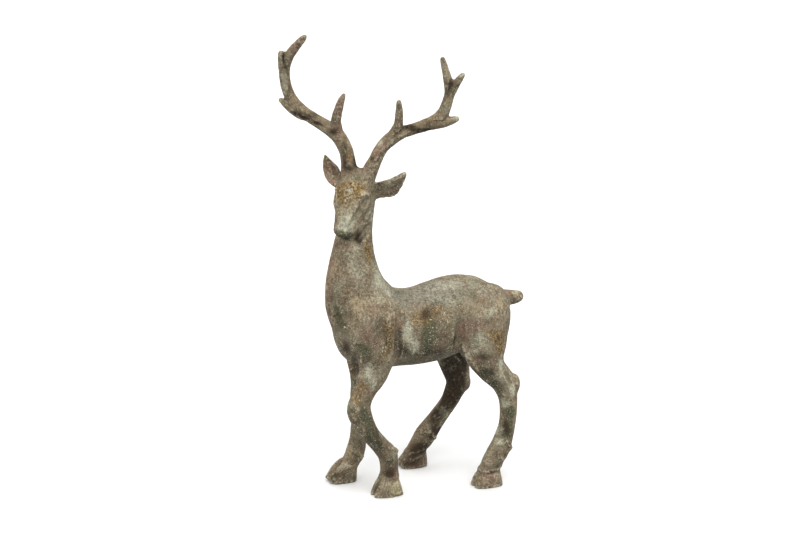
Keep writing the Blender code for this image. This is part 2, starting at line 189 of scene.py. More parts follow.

# Patches of patina, set at pixels of the photo carried onto the surface, and tuned
# against the photo: centre x, y, z, radii along x, y, z, and strength. Each name is a layer
# of the finish; "smooth" calms the grain, and the layer listed after "fleck" thins the
# painted shade and dirt of sheltered places. Besides dark patina, the "dark" layer holds
# painted shade under the jaw, in the eye hollow, in the chest's recess and over the far
# hind leg; besides pale patina, the "pale" and "cream" layers hold painted highlights on the
# brow, the cheek, the ears' rims and the antlers' ridges.
PATCHES = {
    "pale": (
        (16, -35, 202, 9.9, 9, 12, 0.5), (18, -44, 214, 8.8, 8, 8, 0.9),
        (28, -51, 198, 8.8, 8, 8, 0.4), (19, -71, 233, 7.7, 7, 10, 0.5),
        (21, -32, 195, 6.6, 6, 8, 0.1), (34, -19, 162, 5, 4.5, 15, 0.95),
        (32, -13, 148, 5, 4, 7, 1.2), (23, 16, 192, 12, 18, 8, 0.32),
        (40, 68, 176, 7.7, 7, 7, 0.55), (16, 36, 202, 12, 24, 6, 0.5), (30, -23, 179, 5, 4, 9, 0.2),
        (41, 55, 150, 5.5, 5, 8, 0.7), (38, 50, 137, 5.5, 5, 4, 0.6),
        (34, -59, 129, 7.8, 6, 9, 0.8), (35, -55, 114, 5.2, 4, 7, 0.6),
        (28, -46, 65, 5.2, 4, 5, 0.1), (31, -77, 91, 5.2, 4, 4, 0.1), (31, -41, 56, 5.2, 4, 4, 0.2),
        (-19, -64, 19, 6.5, 5, 5, 0.4), (-28, 48, 60, 6.5, 5, 8, 0.4), (-31, 32, 43, 4, 3, 4, 0.4),
        (30, 45, 130, 5, 4, 7, 0.9), (43, 79, 111, 7.8, 6, 6, 0.5), (43, 91, 93, 4, 3, 8, 0.9),
        (41, 78, 126, 5.5, 5, 10, 0.6), (43, 86, 82, 4, 3, 3, 0.6), (33, 82, 67, 4, 2.5, 10, 1.3),
        (45, 70, 39, 7.8, 6, 4, 0.2), (46, 61, 26, 6.5, 5, 5, 0.3), (-42, -118, 421, 4, 3, 9, 0.5),
        (-45, -114, 406, 4, 3, 6, 0.6), (-48, -112, 392, 5.2, 4, 8, 0.6),
        (-51, -110, 380, 4, 3, 3, 0.8), (21, -78, 272, 6.6, 6, 4, 0.8),
        (15, -50, 283, 5, 4, 8, 0.2), (20, -73, 302, 5, 2.6, 2.2, 1.1),
        (18, -66, 245, 5.5, 5, 5, 0.4), (10, -46, 268, 5, 3, 6, 0.5),
        (31, -22, 316, 5, 3, 2.4, 0.4), (19, -41, 345, 4, 3, 5, 0.7), (24, -30, 346, 4, 2, 4, 0.6),
        (69, 18, 410, 4, 3, 5, 0.7), (53, 10, 378, 4.5, 3.5, 6, 0.7), (21, -1, 190, 8.8, 8, 7, 0.1),
        (-47, -114, 400, 4, 3, 9, 0.6), (10, 11, 200, 12, 16, 4, 0.2),
        (17, 61, 202, 12, 12, 4, 0.1), (18, -46, 223, 6.6, 6, 8, 0.4),
        (10, -32, 207, 8.8, 8, 5, 0.2), (21, -78, 279, 5.5, 5, 7, 0.4),
        (15, -50, 278, 5, 3, 6, 0.1), (28, 61, 196, 11, 10, 6, 0.25),
        (21, -59, 232, 5.5, 5, 8, 0.3), (60, 3, 417, 4, 2, 5, 0.5), (20, -80, 275, 5, 4, 6, 0.2),
        (5, 114, 185, 5.5, 5, 5, 0.3), (22, -76, 270, 5.5, 5, 8, 0.3),
        (2, 113, 187, 5.5, 5, 5, 0.2), (33, -9, 154, 5, 4, 10, 0.5), (36, 77, 53, 4, 2.5, 8, 1),
        (56, 21, 369, 5.2, 4, 3, 0.8), (23, -72, 279, 8.8, 8, 14, 0.45),
        (29, -47, 66, 4, 3, 8, 0.3), (34, -61, 120, 6.5, 5, 8, 0.2),
        (11, -45, 278, 5.5, 5, 10, 0.3), (12, -57, 317, 8.8, 8, 6, 0.2),
        (16, -55, 277, 5.5, 5, 8, 0.3), (21, -79, 268, 6.1, 5.5, 3, 0.9),
        (19, -34, 305, 7.7, 7, 4, 0.8), (28, -26, 312, 5, 4, 3, 0.4), (-18, -78, 311, 5, 4, 5, 0.4),
        (39, 52, 157, 8.8, 8, 8, 0.15), (18, -83, 267, 5, 4, 3, 0.6),
        (22, -57, 295, 5.5, 5, 3, 0.45), (14, -50, 269, 5, 3, 4, 0.6), (16, -56, 311, 5, 4, 5, 0.4),
        (40, 83, 84, 4, 3, 6, 0.9), (42, 92, 97, 4, 3, 6, 0.5), (46, 75, 45, 6.5, 5, 3.5, 0.7),
        (23, -67, 216, 8.8, 8, 12, 0.35), (32, -55, 53, 5.2, 4, 5, 0.5),
        (33, 12, 158, 6.6, 6, 7, 0.35), (33, -22, 161, 5.5, 5, 7, 0.3), (43, 79, 55, 4, 3, 7, 0.4),
        (42, 78, 121, 5.5, 5, 5, 0.5), (29, 31, 186, 6.6, 6, 5, 0.4),
    ),
    "beige": (
        (2, 116, 186, 5, 4, 4, 1.4), (7, 109, 182, 5, 4, 3, 0.5), (26, -61, 197, 12, 11, 8, 0.35),
        (8, -85, 226, 5.5, 5, 8, 0.6), (19, -77, 177, 6.6, 6, 5, 0.4),
        (30, 39, 187, 8.8, 8, 6, 0.2), (31, -13, 176, 5.5, 5, 5, 0.2),
        (33, 21, 171, 5.5, 5, 8, 0.5), (34, 49, 125, 5, 4, 5, 0.6), (29, -78, 93, 5.2, 4, 5, 0.2),
        (-24, -58, 33, 6.5, 5, 9, 0.6), (-45, -105, 375, 5.2, 4, 4, 0.7),
        (-1, -68, 337, 4, 3, 5, 0.5), (28, -22, 353, 5.2, 4, 4, 1), (62, 6, 412, 4, 3, 7, 0.8),
        (56, 21, 370, 5.2, 4, 3, 1.6), (56, 12, 385, 4, 3, 5, 0.6),
        (-44, -118, 419, 4, 2.5, 8, 0.5), (21, -78, 277, 5.5, 5, 6, 0.5),
        (16, -58, 270, 5, 4, 5, 0.4), (34, 64, 187, 8.8, 8, 6, 0.4), (37, -53, 184, 6.6, 6, 6, 0.3),
        (29, -65, 139, 5, 4, 8, 0.3), (51, 71, 27, 6.5, 5, 5, 0.2),
        (24, -29, 309, 9.9, 9, 2.2, 1.6), (31, -22, 315, 5, 3, 2.4, 1),
        (-46, -114, 403, 4, 2.5, 7, 0.5), (62, 8, 412, 4, 3, 7, 0.4), (67, 17, 408, 4, 2, 3, 0.7),
        (16, -48, 330, 4, 2, 6, 0.5), (55, 16, 386, 4, 3, 5, 0.8), (20, -32, 304, 8.8, 8, 3, 0.6),
        (19, -24, 297, 5, 4, 3, 0.4), (-58, -113, 385, 4, 3, 4, 0.7),
        (26, -26, 310, 7.7, 7, 3, 0.7), (20, -36, 306, 5.5, 5, 3, 0.6),
        (24, -70, 197, 8.8, 8, 12, 0.5), (35, 80, 181, 6.6, 6, 8, 0.5),
        (21, -78, 285, 7.7, 7, 6, 0.8), (13, -84, 271, 5, 3, 8, 0.7),
        (-48, -113, 397, 4, 3, 9, 1.2), (54, 12, 380, 4, 3, 6, 1.2),
        (25, -69, 288, 12, 14, 22, 0.6), (27, -69, 186, 5.5, 5, 16, 0.5),
        (-46, -113, 402, 4, 3, 10, 0.6), (-20, -79, 315, 5, 4, 7, 0.9),
        (33, 81, 185, 8.8, 8, 8, 0.4), (-31, 31, 43, 4, 3, 4, 0.4), (15, -36, 301, 5.5, 5, 3, 0.5),
        (21, -70, 262, 5, 4, 3, 0.8), (22, -76, 286, 5, 4, 8, 0.6), (5, -87, 224, 5, 3, 14, 0.6),
        (10, -88, 196, 5, 3, 14, 0.5), (6, -77, 145, 6.6, 6, 8, 0.5),
        (28, -70, 149, 7.7, 7, 6, 0.35), (29, 15, 140, 8.8, 8, 5, 0.4),
        (-36, 46, 64, 7.8, 6, 11, 0.45), (9, -78, 253, 5.5, 5, 5, 0.4),
        (15, -47, 300, 5.5, 5, 5, 0.3), (11, -87, 196, 5, 4, 14, 0.4),
    ),
    "green": (
        (33, 3, 152, 7.2, 6.5, 15, 1.4), (33, 5, 167, 9.9, 9, 9, 0.6), (28, 2, 139, 5.5, 5, 7, 0.8),
        (15, -84, 182, 6.6, 6, 10, 1), (15, -79, 167, 7.7, 7, 6, 0.6), (29, 53, 192, 5, 4, 5, 0.7),
        (33, -62, 147, 7.7, 7, 6, 1), (31, -68, 154, 6.6, 6, 5, 0.5), (11, -87, 191, 5, 4, 12, 0.4),
        (36, -66, 85, 6.5, 5, 7, 2), (34, -60, 68, 5.9, 4.5, 12, 2), (34, -51, 54, 6.5, 5, 6, 1.6),
        (34, -61, 102, 5.2, 4, 5, 0.5), (35, -39, 37, 5.2, 4, 5, 0.5),
        (39, 62, 114, 8, 7, 4.5, 1.7), (39, 71, 103, 7.8, 6, 4, 1.4), (40, 79, 96, 5.2, 4, 4, 0.7),
        (42, 85, 88, 4, 3, 4, 0.5), (44, 88, 74, 4.5, 3.5, 6, 1.8), (46, 85, 58, 5.2, 4, 8, 2.2),
        (46, 77, 48, 4, 3, 4, 0.7), (-44, -109, 409, 4, 3, 4, 0.5), (16, -81, 258, 7.7, 7, 4, 0.8),
        (14, -74, 256, 5, 4, 3, 0.4), (16, -54, 275, 5, 3, 4, 0.4), (15, -54, 321, 6.5, 5, 4, 0.3),
        (18, -49, 319, 5, 4, 5, 0.3), (22, 0, 190, 6.6, 6, 5, 0.3), (-28, 48, 49, 5.2, 4, 5, 0.5),
        (29, -24, 316, 5, 3, 3, 0.2), (20, -63, 236, 5.5, 5, 5, 0.3), (34, -42, 35, 6.5, 5, 6, 0.3),
        (21, 30, 198, 12, 14, 5, 0.3), (11, -17, 198, 8.8, 8, 6, 0.6),
        (19, 55, 201, 12, 12, 5, 0.3), (14, -46, 298, 5, 4, 6, 0.5), (14, -48, 285, 5, 4, 8, 0.5),
        (15, -64, 312, 6.6, 6, 4, 0.5), (18, 12, 128, 12, 14, 4, 0.5),
        (31, 36, 184, 7.7, 7, 6, 0.3), (35, -44, 126, 6.5, 5, 7, 0.3),
        (14, -75, 255, 7.7, 7, 4, 0.3), (20, -47, 219, 5.5, 5, 8, 0.3),
        (30, -78, 91, 5.2, 4, 5, 0.9), (60, 2, 419, 4, 3, 6, 0.4), (20, -79, 260, 8.8, 8, 4.5, 2.2),
        (-29, 32, 33, 6.5, 5, 4, 0.6), (11, -67, 314, 9.9, 9, 5, 0.3), (35, -29, 381, 4, 3, 8, 0.3),
        (36, -53, 139, 8.8, 8, 6, 0.4), (47, 81, 48, 4, 3, 6, 0.6), (-32, 47, 65, 6.5, 5, 10, 0.5),
        (-29, 35, 40, 6.5, 5, 8, 0.4), (5, 38, 207, 12, 22, 3, 0.4), (15, 68, 202, 12, 14, 3, 0.4),
        (27, -72, 154, 5, 4, 6, 0.2), (18, -83, 261, 5, 3, 3, 0.8), (44, 87, 73, 6.5, 5, 4, 1),
        (45, 82, 55, 5.2, 4, 7, 1.2),
    ),
    "ochre": (
        (38, -42, 166, 5, 4.5, 14, 1.4), (31, 1, 176, 8.8, 8, 9, 0.7),
        (29, 14, 182, 6.6, 6, 4, 0.7), (9, -86, 180, 5, 4, 5, 0.6), (42, 75, 147, 6.6, 6, 9, 1.4),
        (42, 66, 155, 6.6, 6, 5, 0.7), (36, -39, 153, 5, 4, 9, 0.7),
        (17, -54, 243, 5, 3.5, 13, 1.1), (32, -13, 172, 5, 4, 5, 0.5), (37, -46, 143, 5, 4, 5, 0.6),
        (30, -72, 106, 6.5, 5, 9, 0.6), (33, -66, 115, 6.5, 5, 6, 0.6),
        (33, -73, 98, 6.5, 5, 5, 0.5), (31, -77, 84, 5.2, 4, 4, 0.6), (34, -44, 43, 5.2, 4, 5, 0.4),
        (16, -77, 302, 7.7, 7, 6, 1.9), (22, -76, 290, 7.7, 7, 6, 0.5),
        (22, -68, 302, 8.8, 8, 5, 1.6), (16, -81, 293, 5, 3, 6, 0.8), (23, -74, 281, 5, 4, 4, 0.3),
        (17, -56, 310, 5, 2.5, 3, 0.8), (1, -64, 332, 4, 2.4, 6, 0.9), (-6, -70, 348, 4, 3, 3, 0.6),
        (44, 83, 61, 4, 3, 4, 0.4), (-20, -56, 118, 5.2, 4, 9, 0.6), (-19, -51, 28, 5.2, 4, 4, 0.5),
        (41, 77, 137, 5, 4, 5, 0.6), (-18, -70, 9, 7.8, 6, 5, 0.3), (23, -75, 168, 5, 3, 4, 0.3),
        (31, -10, 175, 6.6, 6, 7, 0.3), (26, -65, 297, 5, 3, 3, 0.5),
        (17, -71, 307, 8.8, 8, 3, 0.7), (38, 85, 143, 5, 3, 8, 0.5), (-3, -85, 230, 5, 3, 9, 0.6),
        (0, -89, 214, 5, 2.5, 10, 0.4), (46, 3, 366, 8, 8, 3, 0.4), (13, -48, 240, 5, 4, 10, 0.4),
        (0, -90, 194, 5, 3, 14, 0.5), (-4, -84, 168, 5, 3, 10, 0.4), (21, -73, 300, 11, 10, 5, 0.4),
        (21, -77, 288, 5, 4, 6, 0.3), (30, 92, 153, 5, 3, 10, 0.3),
    ),
    "pink": (
        (36, -60, 169, 8.8, 8, 8, 0.6), (22, -72, 211, 6.6, 6, 6, 0.5), (2, -85, 231, 5, 3, 7, 0.7),
        (16, -77, 156, 7.7, 7, 7, 0.5), (33, 59, 187, 9.9, 9, 7, 0.6),
        (31, 39, 159, 5.5, 5, 13, 0.6), (31, -28, 174, 5, 3, 9, 0.5),
        (37, -54, 156, 7.7, 7, 5, 0.5), (40, 55, 164, 12, 11, 6, 0.5),
        (17, 18, 198, 7.7, 7, 4, 0.4), (30, 17, 145, 7.7, 7, 6, 0.5), (35, -36, 25, 8, 7, 8, 1.4),
        (39, 54, 127, 5.5, 5, 5, 0.6), (41, 96, 100, 4, 3, 5, 0.7), (53, 60, 11, 8, 9, 7, 1.2),
        (-2, -75, 380, 5.2, 4, 13, 3), (-10, -73, 355, 6.5, 5, 6, 1),
        (-23, -105, 438, 6.5, 5, 5, 2.2), (-20, -82, 313, 5, 3, 8, 3),
        (-12, -79, 305, 5, 4, 5, 1.6), (19, -43, 337, 4, 2.5, 6, 3), (21, -38, 342, 4, 2.5, 4, 2.2),
        (5, 105, 186, 5, 4, 4, 1.4), (14, -75, 248, 7.7, 7, 4, 0.5), (16, -69, 255, 5, 3, 3, 0.5),
        (13, 3, 196, 5.5, 5, 4, 0.3), (-30, -65, 19, 5.2, 4, 5, 0.4), (-29, 18, 3, 8, 8, 6, 0.3),
        (-30, 19, 9, 8, 10, 10, 1.6), (-20, 58, 101, 8, 9, 12, 0.6), (38, 48, 157, 12, 12, 10, 0.5),
        (6, -89, 205, 5, 3, 14, 1.2), (20, -73, 228, 6.6, 6, 6, 0.4),
        (33, -64, 155, 8.8, 8, 6, 0.4), (31, -24, 150, 5, 4, 10, 0.4),
        (-30, -109, 430, 6.5, 5, 5, 1.4), (35, -40, 23, 6.5, 5, 6, 0.5),
        (35, -57, 122, 6.5, 5, 6, 0.3), (42, 68, 158, 6.6, 6, 7, 0.3),
        (22, -27, 193, 6.6, 6, 8, 0.3), (31, -59, 190, 7.7, 7, 7, 0.3),
        (-8, -72, 365, 4, 3, 5, 0.8), (18, -29, 300, 5.5, 5, 3, 1.2),
        (-20, -75, 321, 5.2, 4, 8, 1.5), (25, -24, 307, 5.5, 5, 4, 0.6),
        (-25, 55, 94, 8, 9, 12, 0.5), (5, -88, 180, 5, 4, 12, 0.8), (34, 42, 164, 12, 14, 12, 0.25),
        (24, -62, 289, 5, 4, 6, 0.6), (-30, 15, 6, 8, 8, 6, 0.8), (2, -85, 231, 5, 3, 10, 0.5),
        (-34, 6, 7, 5.2, 4, 6, 0.5), (-36, 15, 19, 8, 9, 9, 0.6), (25, -10, 186, 8.8, 8, 6, 0.4),
        (3, -87, 225, 5, 3, 12, 0.4),
    ),
    "dark": (
        (13, -77, 150, 7.7, 7, 7, 0.5), (32, -31, 150, 5, 4, 14, 0.55),
        (17, -76, 155, 11, 10, 12, 0.25), (11, -87, 194, 6.6, 6, 24, 0.2),
        (37, 48, 167, 12, 16, 12, 0.1), (35, -38, 31, 8, 8, 11, 0.6), (44, 80, 55, 7.8, 6, 20, 0.2),
        (-19, -51, 38, 6.5, 5, 12, 0.2), (30, -21, 142, 8.8, 8, 8, 0.35),
        (34, 15, 162, 6.6, 6, 16, 0.2), (16, -77, 233, 6.6, 6, 10, 0.2),
        (30, 31, 147, 5, 4, 9, 0.9), (10, -88, 204, 5.5, 5, 17, 0.35),
        (3, -89, 185, 5, 3.5, 13, 0.4), (18, -28, 196, 5, 2.5, 12, 0.5),
        (38, -50, 178, 7.7, 7, 9, 0.4), (13, -66, 133, 5, 4.5, 11, 0.7),
        (30, -23, 145, 5, 4, 9, 0.5), (41, 61, 167, 8.8, 8, 4, 0.4), (38, -54, 168, 5.5, 5, 8, 0.4),
        (38, -44, 162, 5, 4, 12, 0.6), (29, 2, 180, 6.6, 6, 6, 0.8), (42, 75, 145, 5.5, 5, 8, 0.4),
        (41, 56, 132, 8.8, 8, 7, 0.45), (35, -68, 93, 7.8, 6, 7, 0.5),
        (34, -46, 45, 7.8, 6, 6, 0.3), (27, 15, 138, 11, 10, 5, 0.5),
        (-17, -66, 10, 8, 10, 8, 0.25), (-21, -55, 111, 5.2, 4, 10, 0.3),
        (41, 84, 83, 8, 7, 3, 0.1), (48, 61, 23, 8, 8, 3, 0.35), (-19, -46, 41, 4, 3, 10, 0.35),
        (-23, -79, 7, 4, 3, 4, 0.6), (-18, 58, 108, 12, 12, 14, 2.8), (-25, 60, 83, 8, 10, 13, 2.2),
        (-26, 55, 68, 8, 7, 8, 1.3), (-31, 49, 67, 4, 3, 8, 0.5), (-29, 41, 53, 8, 7, 7, 0.6),
        (-29, 42, 36, 7.8, 6, 7, 1.3), (-30, 19, 11, 8, 13, 12, 0.5), (-32, 8, 5, 7.8, 6, 6, 0.3),
        (-30, 25, 22, 7.8, 6, 5, 0.8), (51, 72, 21, 5.2, 4, 3, 0.5), (51, 60, 18, 7.8, 6, 2, 0.6),
        (25, -50, 5, 4, 3, 4, 0.15), (37, -45, 7, 4, 1.6, 4, 0.15),
        (-41, -116, 422, 4, 1.8, 7, 1.2), (-42, -113, 414, 4, 3, 3, 0.8),
        (-34, -109, 425, 4, 3, 3, 0.4), (-24, -104, 436, 4, 2, 2, 0.9),
        (-55, -112, 381, 4, 2, 3, 0.3), (-45, -104, 370, 6.5, 5, 2.5, 1.1),
        (-40, -98, 366, 8, 9, 2.4, 0.8), (-28, -88, 361, 8, 9, 2.4, 0.9),
        (-15, -78, 354, 6.5, 5, 2.5, 0.6), (-4, -69, 344, 4, 3, 2.5, 0.5),
        (-2, -67, 339, 4, 3, 3, 0.4), (1, -70, 325, 6.5, 5, 8, 0.9), (1, -59, 323, 4, 3, 7, 1.4),
        (5, -66, 319, 5.5, 5, 4, 0.6), (17, -48, 331, 4, 3, 4, 0.9),
        (20, -39, 336, 4, 2.6, 3.5, 0.5), (19, -43, 330, 4, 2.2, 3, 0.3),
        (31, -17, 360, 8, 7, 2.6, 1.1), (35, -10, 356, 8, 9, 2.4, 1.1), (38, -1, 357, 7.8, 6, 2, 1),
        (45, 6, 360, 7.8, 6, 3, 0.2), (46, 5, 366, 6.5, 5, 1.6, 0.3),
        (60, 11, 395, 5.9, 4.5, 8, 0.6), (61, 12, 401, 5.2, 4, 4, 0.5),
        (21, -59, 290, 5, 3.4, 4.5, 0.3), (25, -65, 285, 5, 2.8, 4, 0.25),
        (23, -70, 279, 5, 2.2, 4, 0.15), (17, -64, 257, 5, 3.4, 5, 2.2),
        (18, -61, 251, 5, 3, 4, 0.3), (16, -57, 263, 5, 3, 6, 0.3), (13, -76, 255, 7.7, 7, 3, 0.3),
        (-17, -72, 315, 5, 3, 7, 0.25), (20, -27, 301, 6.6, 6, 3, 0.35),
        (-23, -45, 20, 4, 3, 5, 0.3), (49, 83, 35, 4, 3, 3, 0.4), (37, 48, 161, 12, 16, 12, 0.1),
        (32, -50, 66, 6.5, 5, 14, 0.4), (-31, 33, 44, 7.8, 6, 10, 0.3),
        (-29, 46, 58, 7.8, 6, 8, 0.2), (42, 66, 116, 8, 8, 5, 0.5), (46, 84, 57, 5.2, 4, 8, 0.4),
        (50, 70, 32, 7.8, 6, 6, 0.5), (-33, -90, 369, 8, 16, 5, 0.6),
        (-11, -75, 355, 6.5, 5, 5, 0.5), (-2, -69, 337, 5.2, 4, 8, 0.5),
        (35, -29, 380, 4, 3, 9, 0.7), (60, 2, 419, 4, 2.5, 6, 0.5), (37, 85, 154, 5, 3, 12, 0.3),
        (33, -31, 158, 5, 3, 10, 0.2), (12, -76, 146, 8.8, 8, 6, 0.25),
        (34, -59, 82, 7.8, 6, 8, 0.3), (33, -73, 79, 6.5, 5, 6, 0.4),
        (19, -10, 129, 11, 10, 4, 0.3), (22, 21, 132, 8.8, 8, 4, 0.3),
        (33, 57, 188, 8.8, 8, 5, 0.15), (25, -67, 288, 5, 3, 5, 0.15),
        (-29, 36, 33, 5.2, 4, 4, 0.5), (40, 61, 117, 8, 7, 4, 0.2), (41, 69, 108, 7.8, 6, 4, 0.2),
        (52, 65, 20, 8, 10, 6, 0.3), (15, -52, 261, 5, 4, 8, 0.25), (35, -54, 115, 8, 12, 20, 0.3),
        (33, -50, 63, 8, 9, 18, 0.35), (43, 83, 101, 8, 12, 14, 0.3), (43, 82, 60, 8, 8, 20, 0.2),
        (28, -67, 64, 8, 9, 18, 0.15), (43, 63, 128, 12, 14, 10, 0.2),
        (29, 7, 141, 12, 20, 8, 0.25), (29, -12, 141, 5.5, 5, 6, 0.2),
        (30, -78, 89, 6.5, 5, 8, 0.3), (34, -51, 59, 8, 9, 18, 0.1), (-23, -55, 42, 8, 8, 18, 0.2),
        (43, 73, 45, 8, 10, 25, 0.15), (-29, 19, 7, 8, 12, 9, 0.35), (43, 62, 134, 6.6, 6, 5, 0.3),
        (-33, 53, 77, 6.5, 5, 9, 0.8), (-23, 53, 101, 7.8, 6, 10, 0.8),
        (-32, 45, 61, 7.8, 6, 10, 0.5), (-30, 38, 50, 7.8, 6, 10, 0.3),
        (-31, 30, 20, 6.5, 5, 8, 0.5), (18, -77, 257, 6.6, 6, 2.5, 0.5),
        (34, -32, 38, 7.8, 6, 6, 0.35), (-33, 7, 6, 5.2, 4, 6, 0.3), (9, -60, 317, 5, 4, 3, 0.3),
        (25, -48, 8, 7.8, 6, 9, 0.5), (33, -42, 23, 8, 8, 4, 0.3), (-18, -69, 8, 8, 12, 7, 0.3),
        (-20, -75, 10, 5.2, 4, 5, 0.3), (-34, 16, 20, 8, 9, 9, 0.4), (45, 82, 55, 5.2, 4, 8, 0.3),
        (44, 87, 73, 5.2, 4, 4, 0.3), (33, -39, 51, 7.8, 6, 6, 0.35), (35, -40, 21, 8, 7, 5, 0.45),
        (52, 57, 11, 8, 8, 6, 0.2), (34, -39, 131, 6.6, 6, 5, 0.3), (37, -57, 181, 8.8, 8, 7, 0.25),
    ),
    "cream": (
        (38, -33, 9, 7.8, 6, 5, 1.6), (34, -50, 9, 5.2, 4, 6, 0.3),
        (25, -61, 299, 5, 2.8, 3.6, 1.5), (37, -32, 12, 5.2, 4, 3, 0.5),
        (38, -35, 8, 7.8, 6, 5, 0.8),
    ),
    "fleck": (
        (38, -43, 173, 5.5, 5, 13, 0.5), (37, -45, 153, 6.6, 6, 5, 0.5),
        (33, 7, 156, 7.7, 7, 8, 0.7), (29, -2, 141, 5, 4, 4, 0.9), (33, 24, 173, 5.5, 5, 7, 0.9),
        (31, -14, 176, 6.6, 6, 6, 0.6), (41, 55, 151, 6.6, 6, 6, 0.6), (42, 73, 142, 5, 4, 4, 0.6),
        (39, 51, 138, 5.5, 5, 4, 0.7), (36, -41, 183, 5.5, 5, 3, 0.6),
        (21, -75, 297, 8.8, 8, 8, 0.1), (17, -56, 310, 5, 3, 3, 0.5), (33, -73, 98, 7.8, 6, 6, 0.4),
        (13, -33, 295, 5, 2.5, 1.6, 0.9), (33, 13, 170, 5.5, 5, 5, 0.5),
        (17, -77, 167, 6.6, 6, 8, 0.3), (17, -49, 312, 5, 4, 4, 0.3), (18, -56, 240, 5, 3, 9, 0.4),
    ),
    # Places where the painted shade and dirt of sheltered places is thinned
    "shade_and_dirt_thinned": (
        (-21, -82, 321, 6.5, 5, 9, 1), (-19, -76, 315, 6.6, 6, 9, 1), (-13, -76, 308, 5, 4, 5, 0.6),
        (18, -33, 303, 9.9, 9, 6, 1), (26, -25, 309, 7.7, 7, 6, 1), (19, -25, 299, 6.6, 6, 4, 0.6),
        (22, -59, 288, 5.5, 5, 5, 0.6),
    ),
    "haze": (
        (13, -30, 201, 12, 16, 13, 0.7), (13, 4, 197, 12, 20, 10, 0.7),
        (26, 19, 189, 12, 20, 8, 0.6), (23, 44, 198, 12, 22, 9, 0.5),
        (33, 70, 190, 12, 14, 10, 0.45), (9, -41, 227, 6.6, 6, 12, 0.4),
        (23, -17, 190, 12, 12, 8, 0.5), (10, 23, 203, 12, 18, 5, 0.5),
    ),
    "smooth": (
        (20, -61, 278, 8.8, 8, 13, 1), (20, -67, 265, 8.8, 8, 8, 0.8),
        (20, -55, 289, 5.5, 5, 7, 0.6), (24, -62, 289, 5.5, 5, 8, 0.6),
    ),
}

# Patches of the body's left side, further out than HIDDEN_FROM and lower than HEAD_FROM,
# are repeated on its right side, mirrored and shifted
HIDDEN_SIDE = (-1.0, 1.0, 1.0)
HIDDEN_SHIFT = (0.0, 11.0, -7.0)
HIDDEN_FROM = 10.0
HEAD_FROM = 232.0

# Warp of the patches' outlines, and the most that overlapping patches add up to
WARP_SIZE = 16
WARP_REACH = 3
WARP_SEED = 60
FULL_PATCH = 1.5

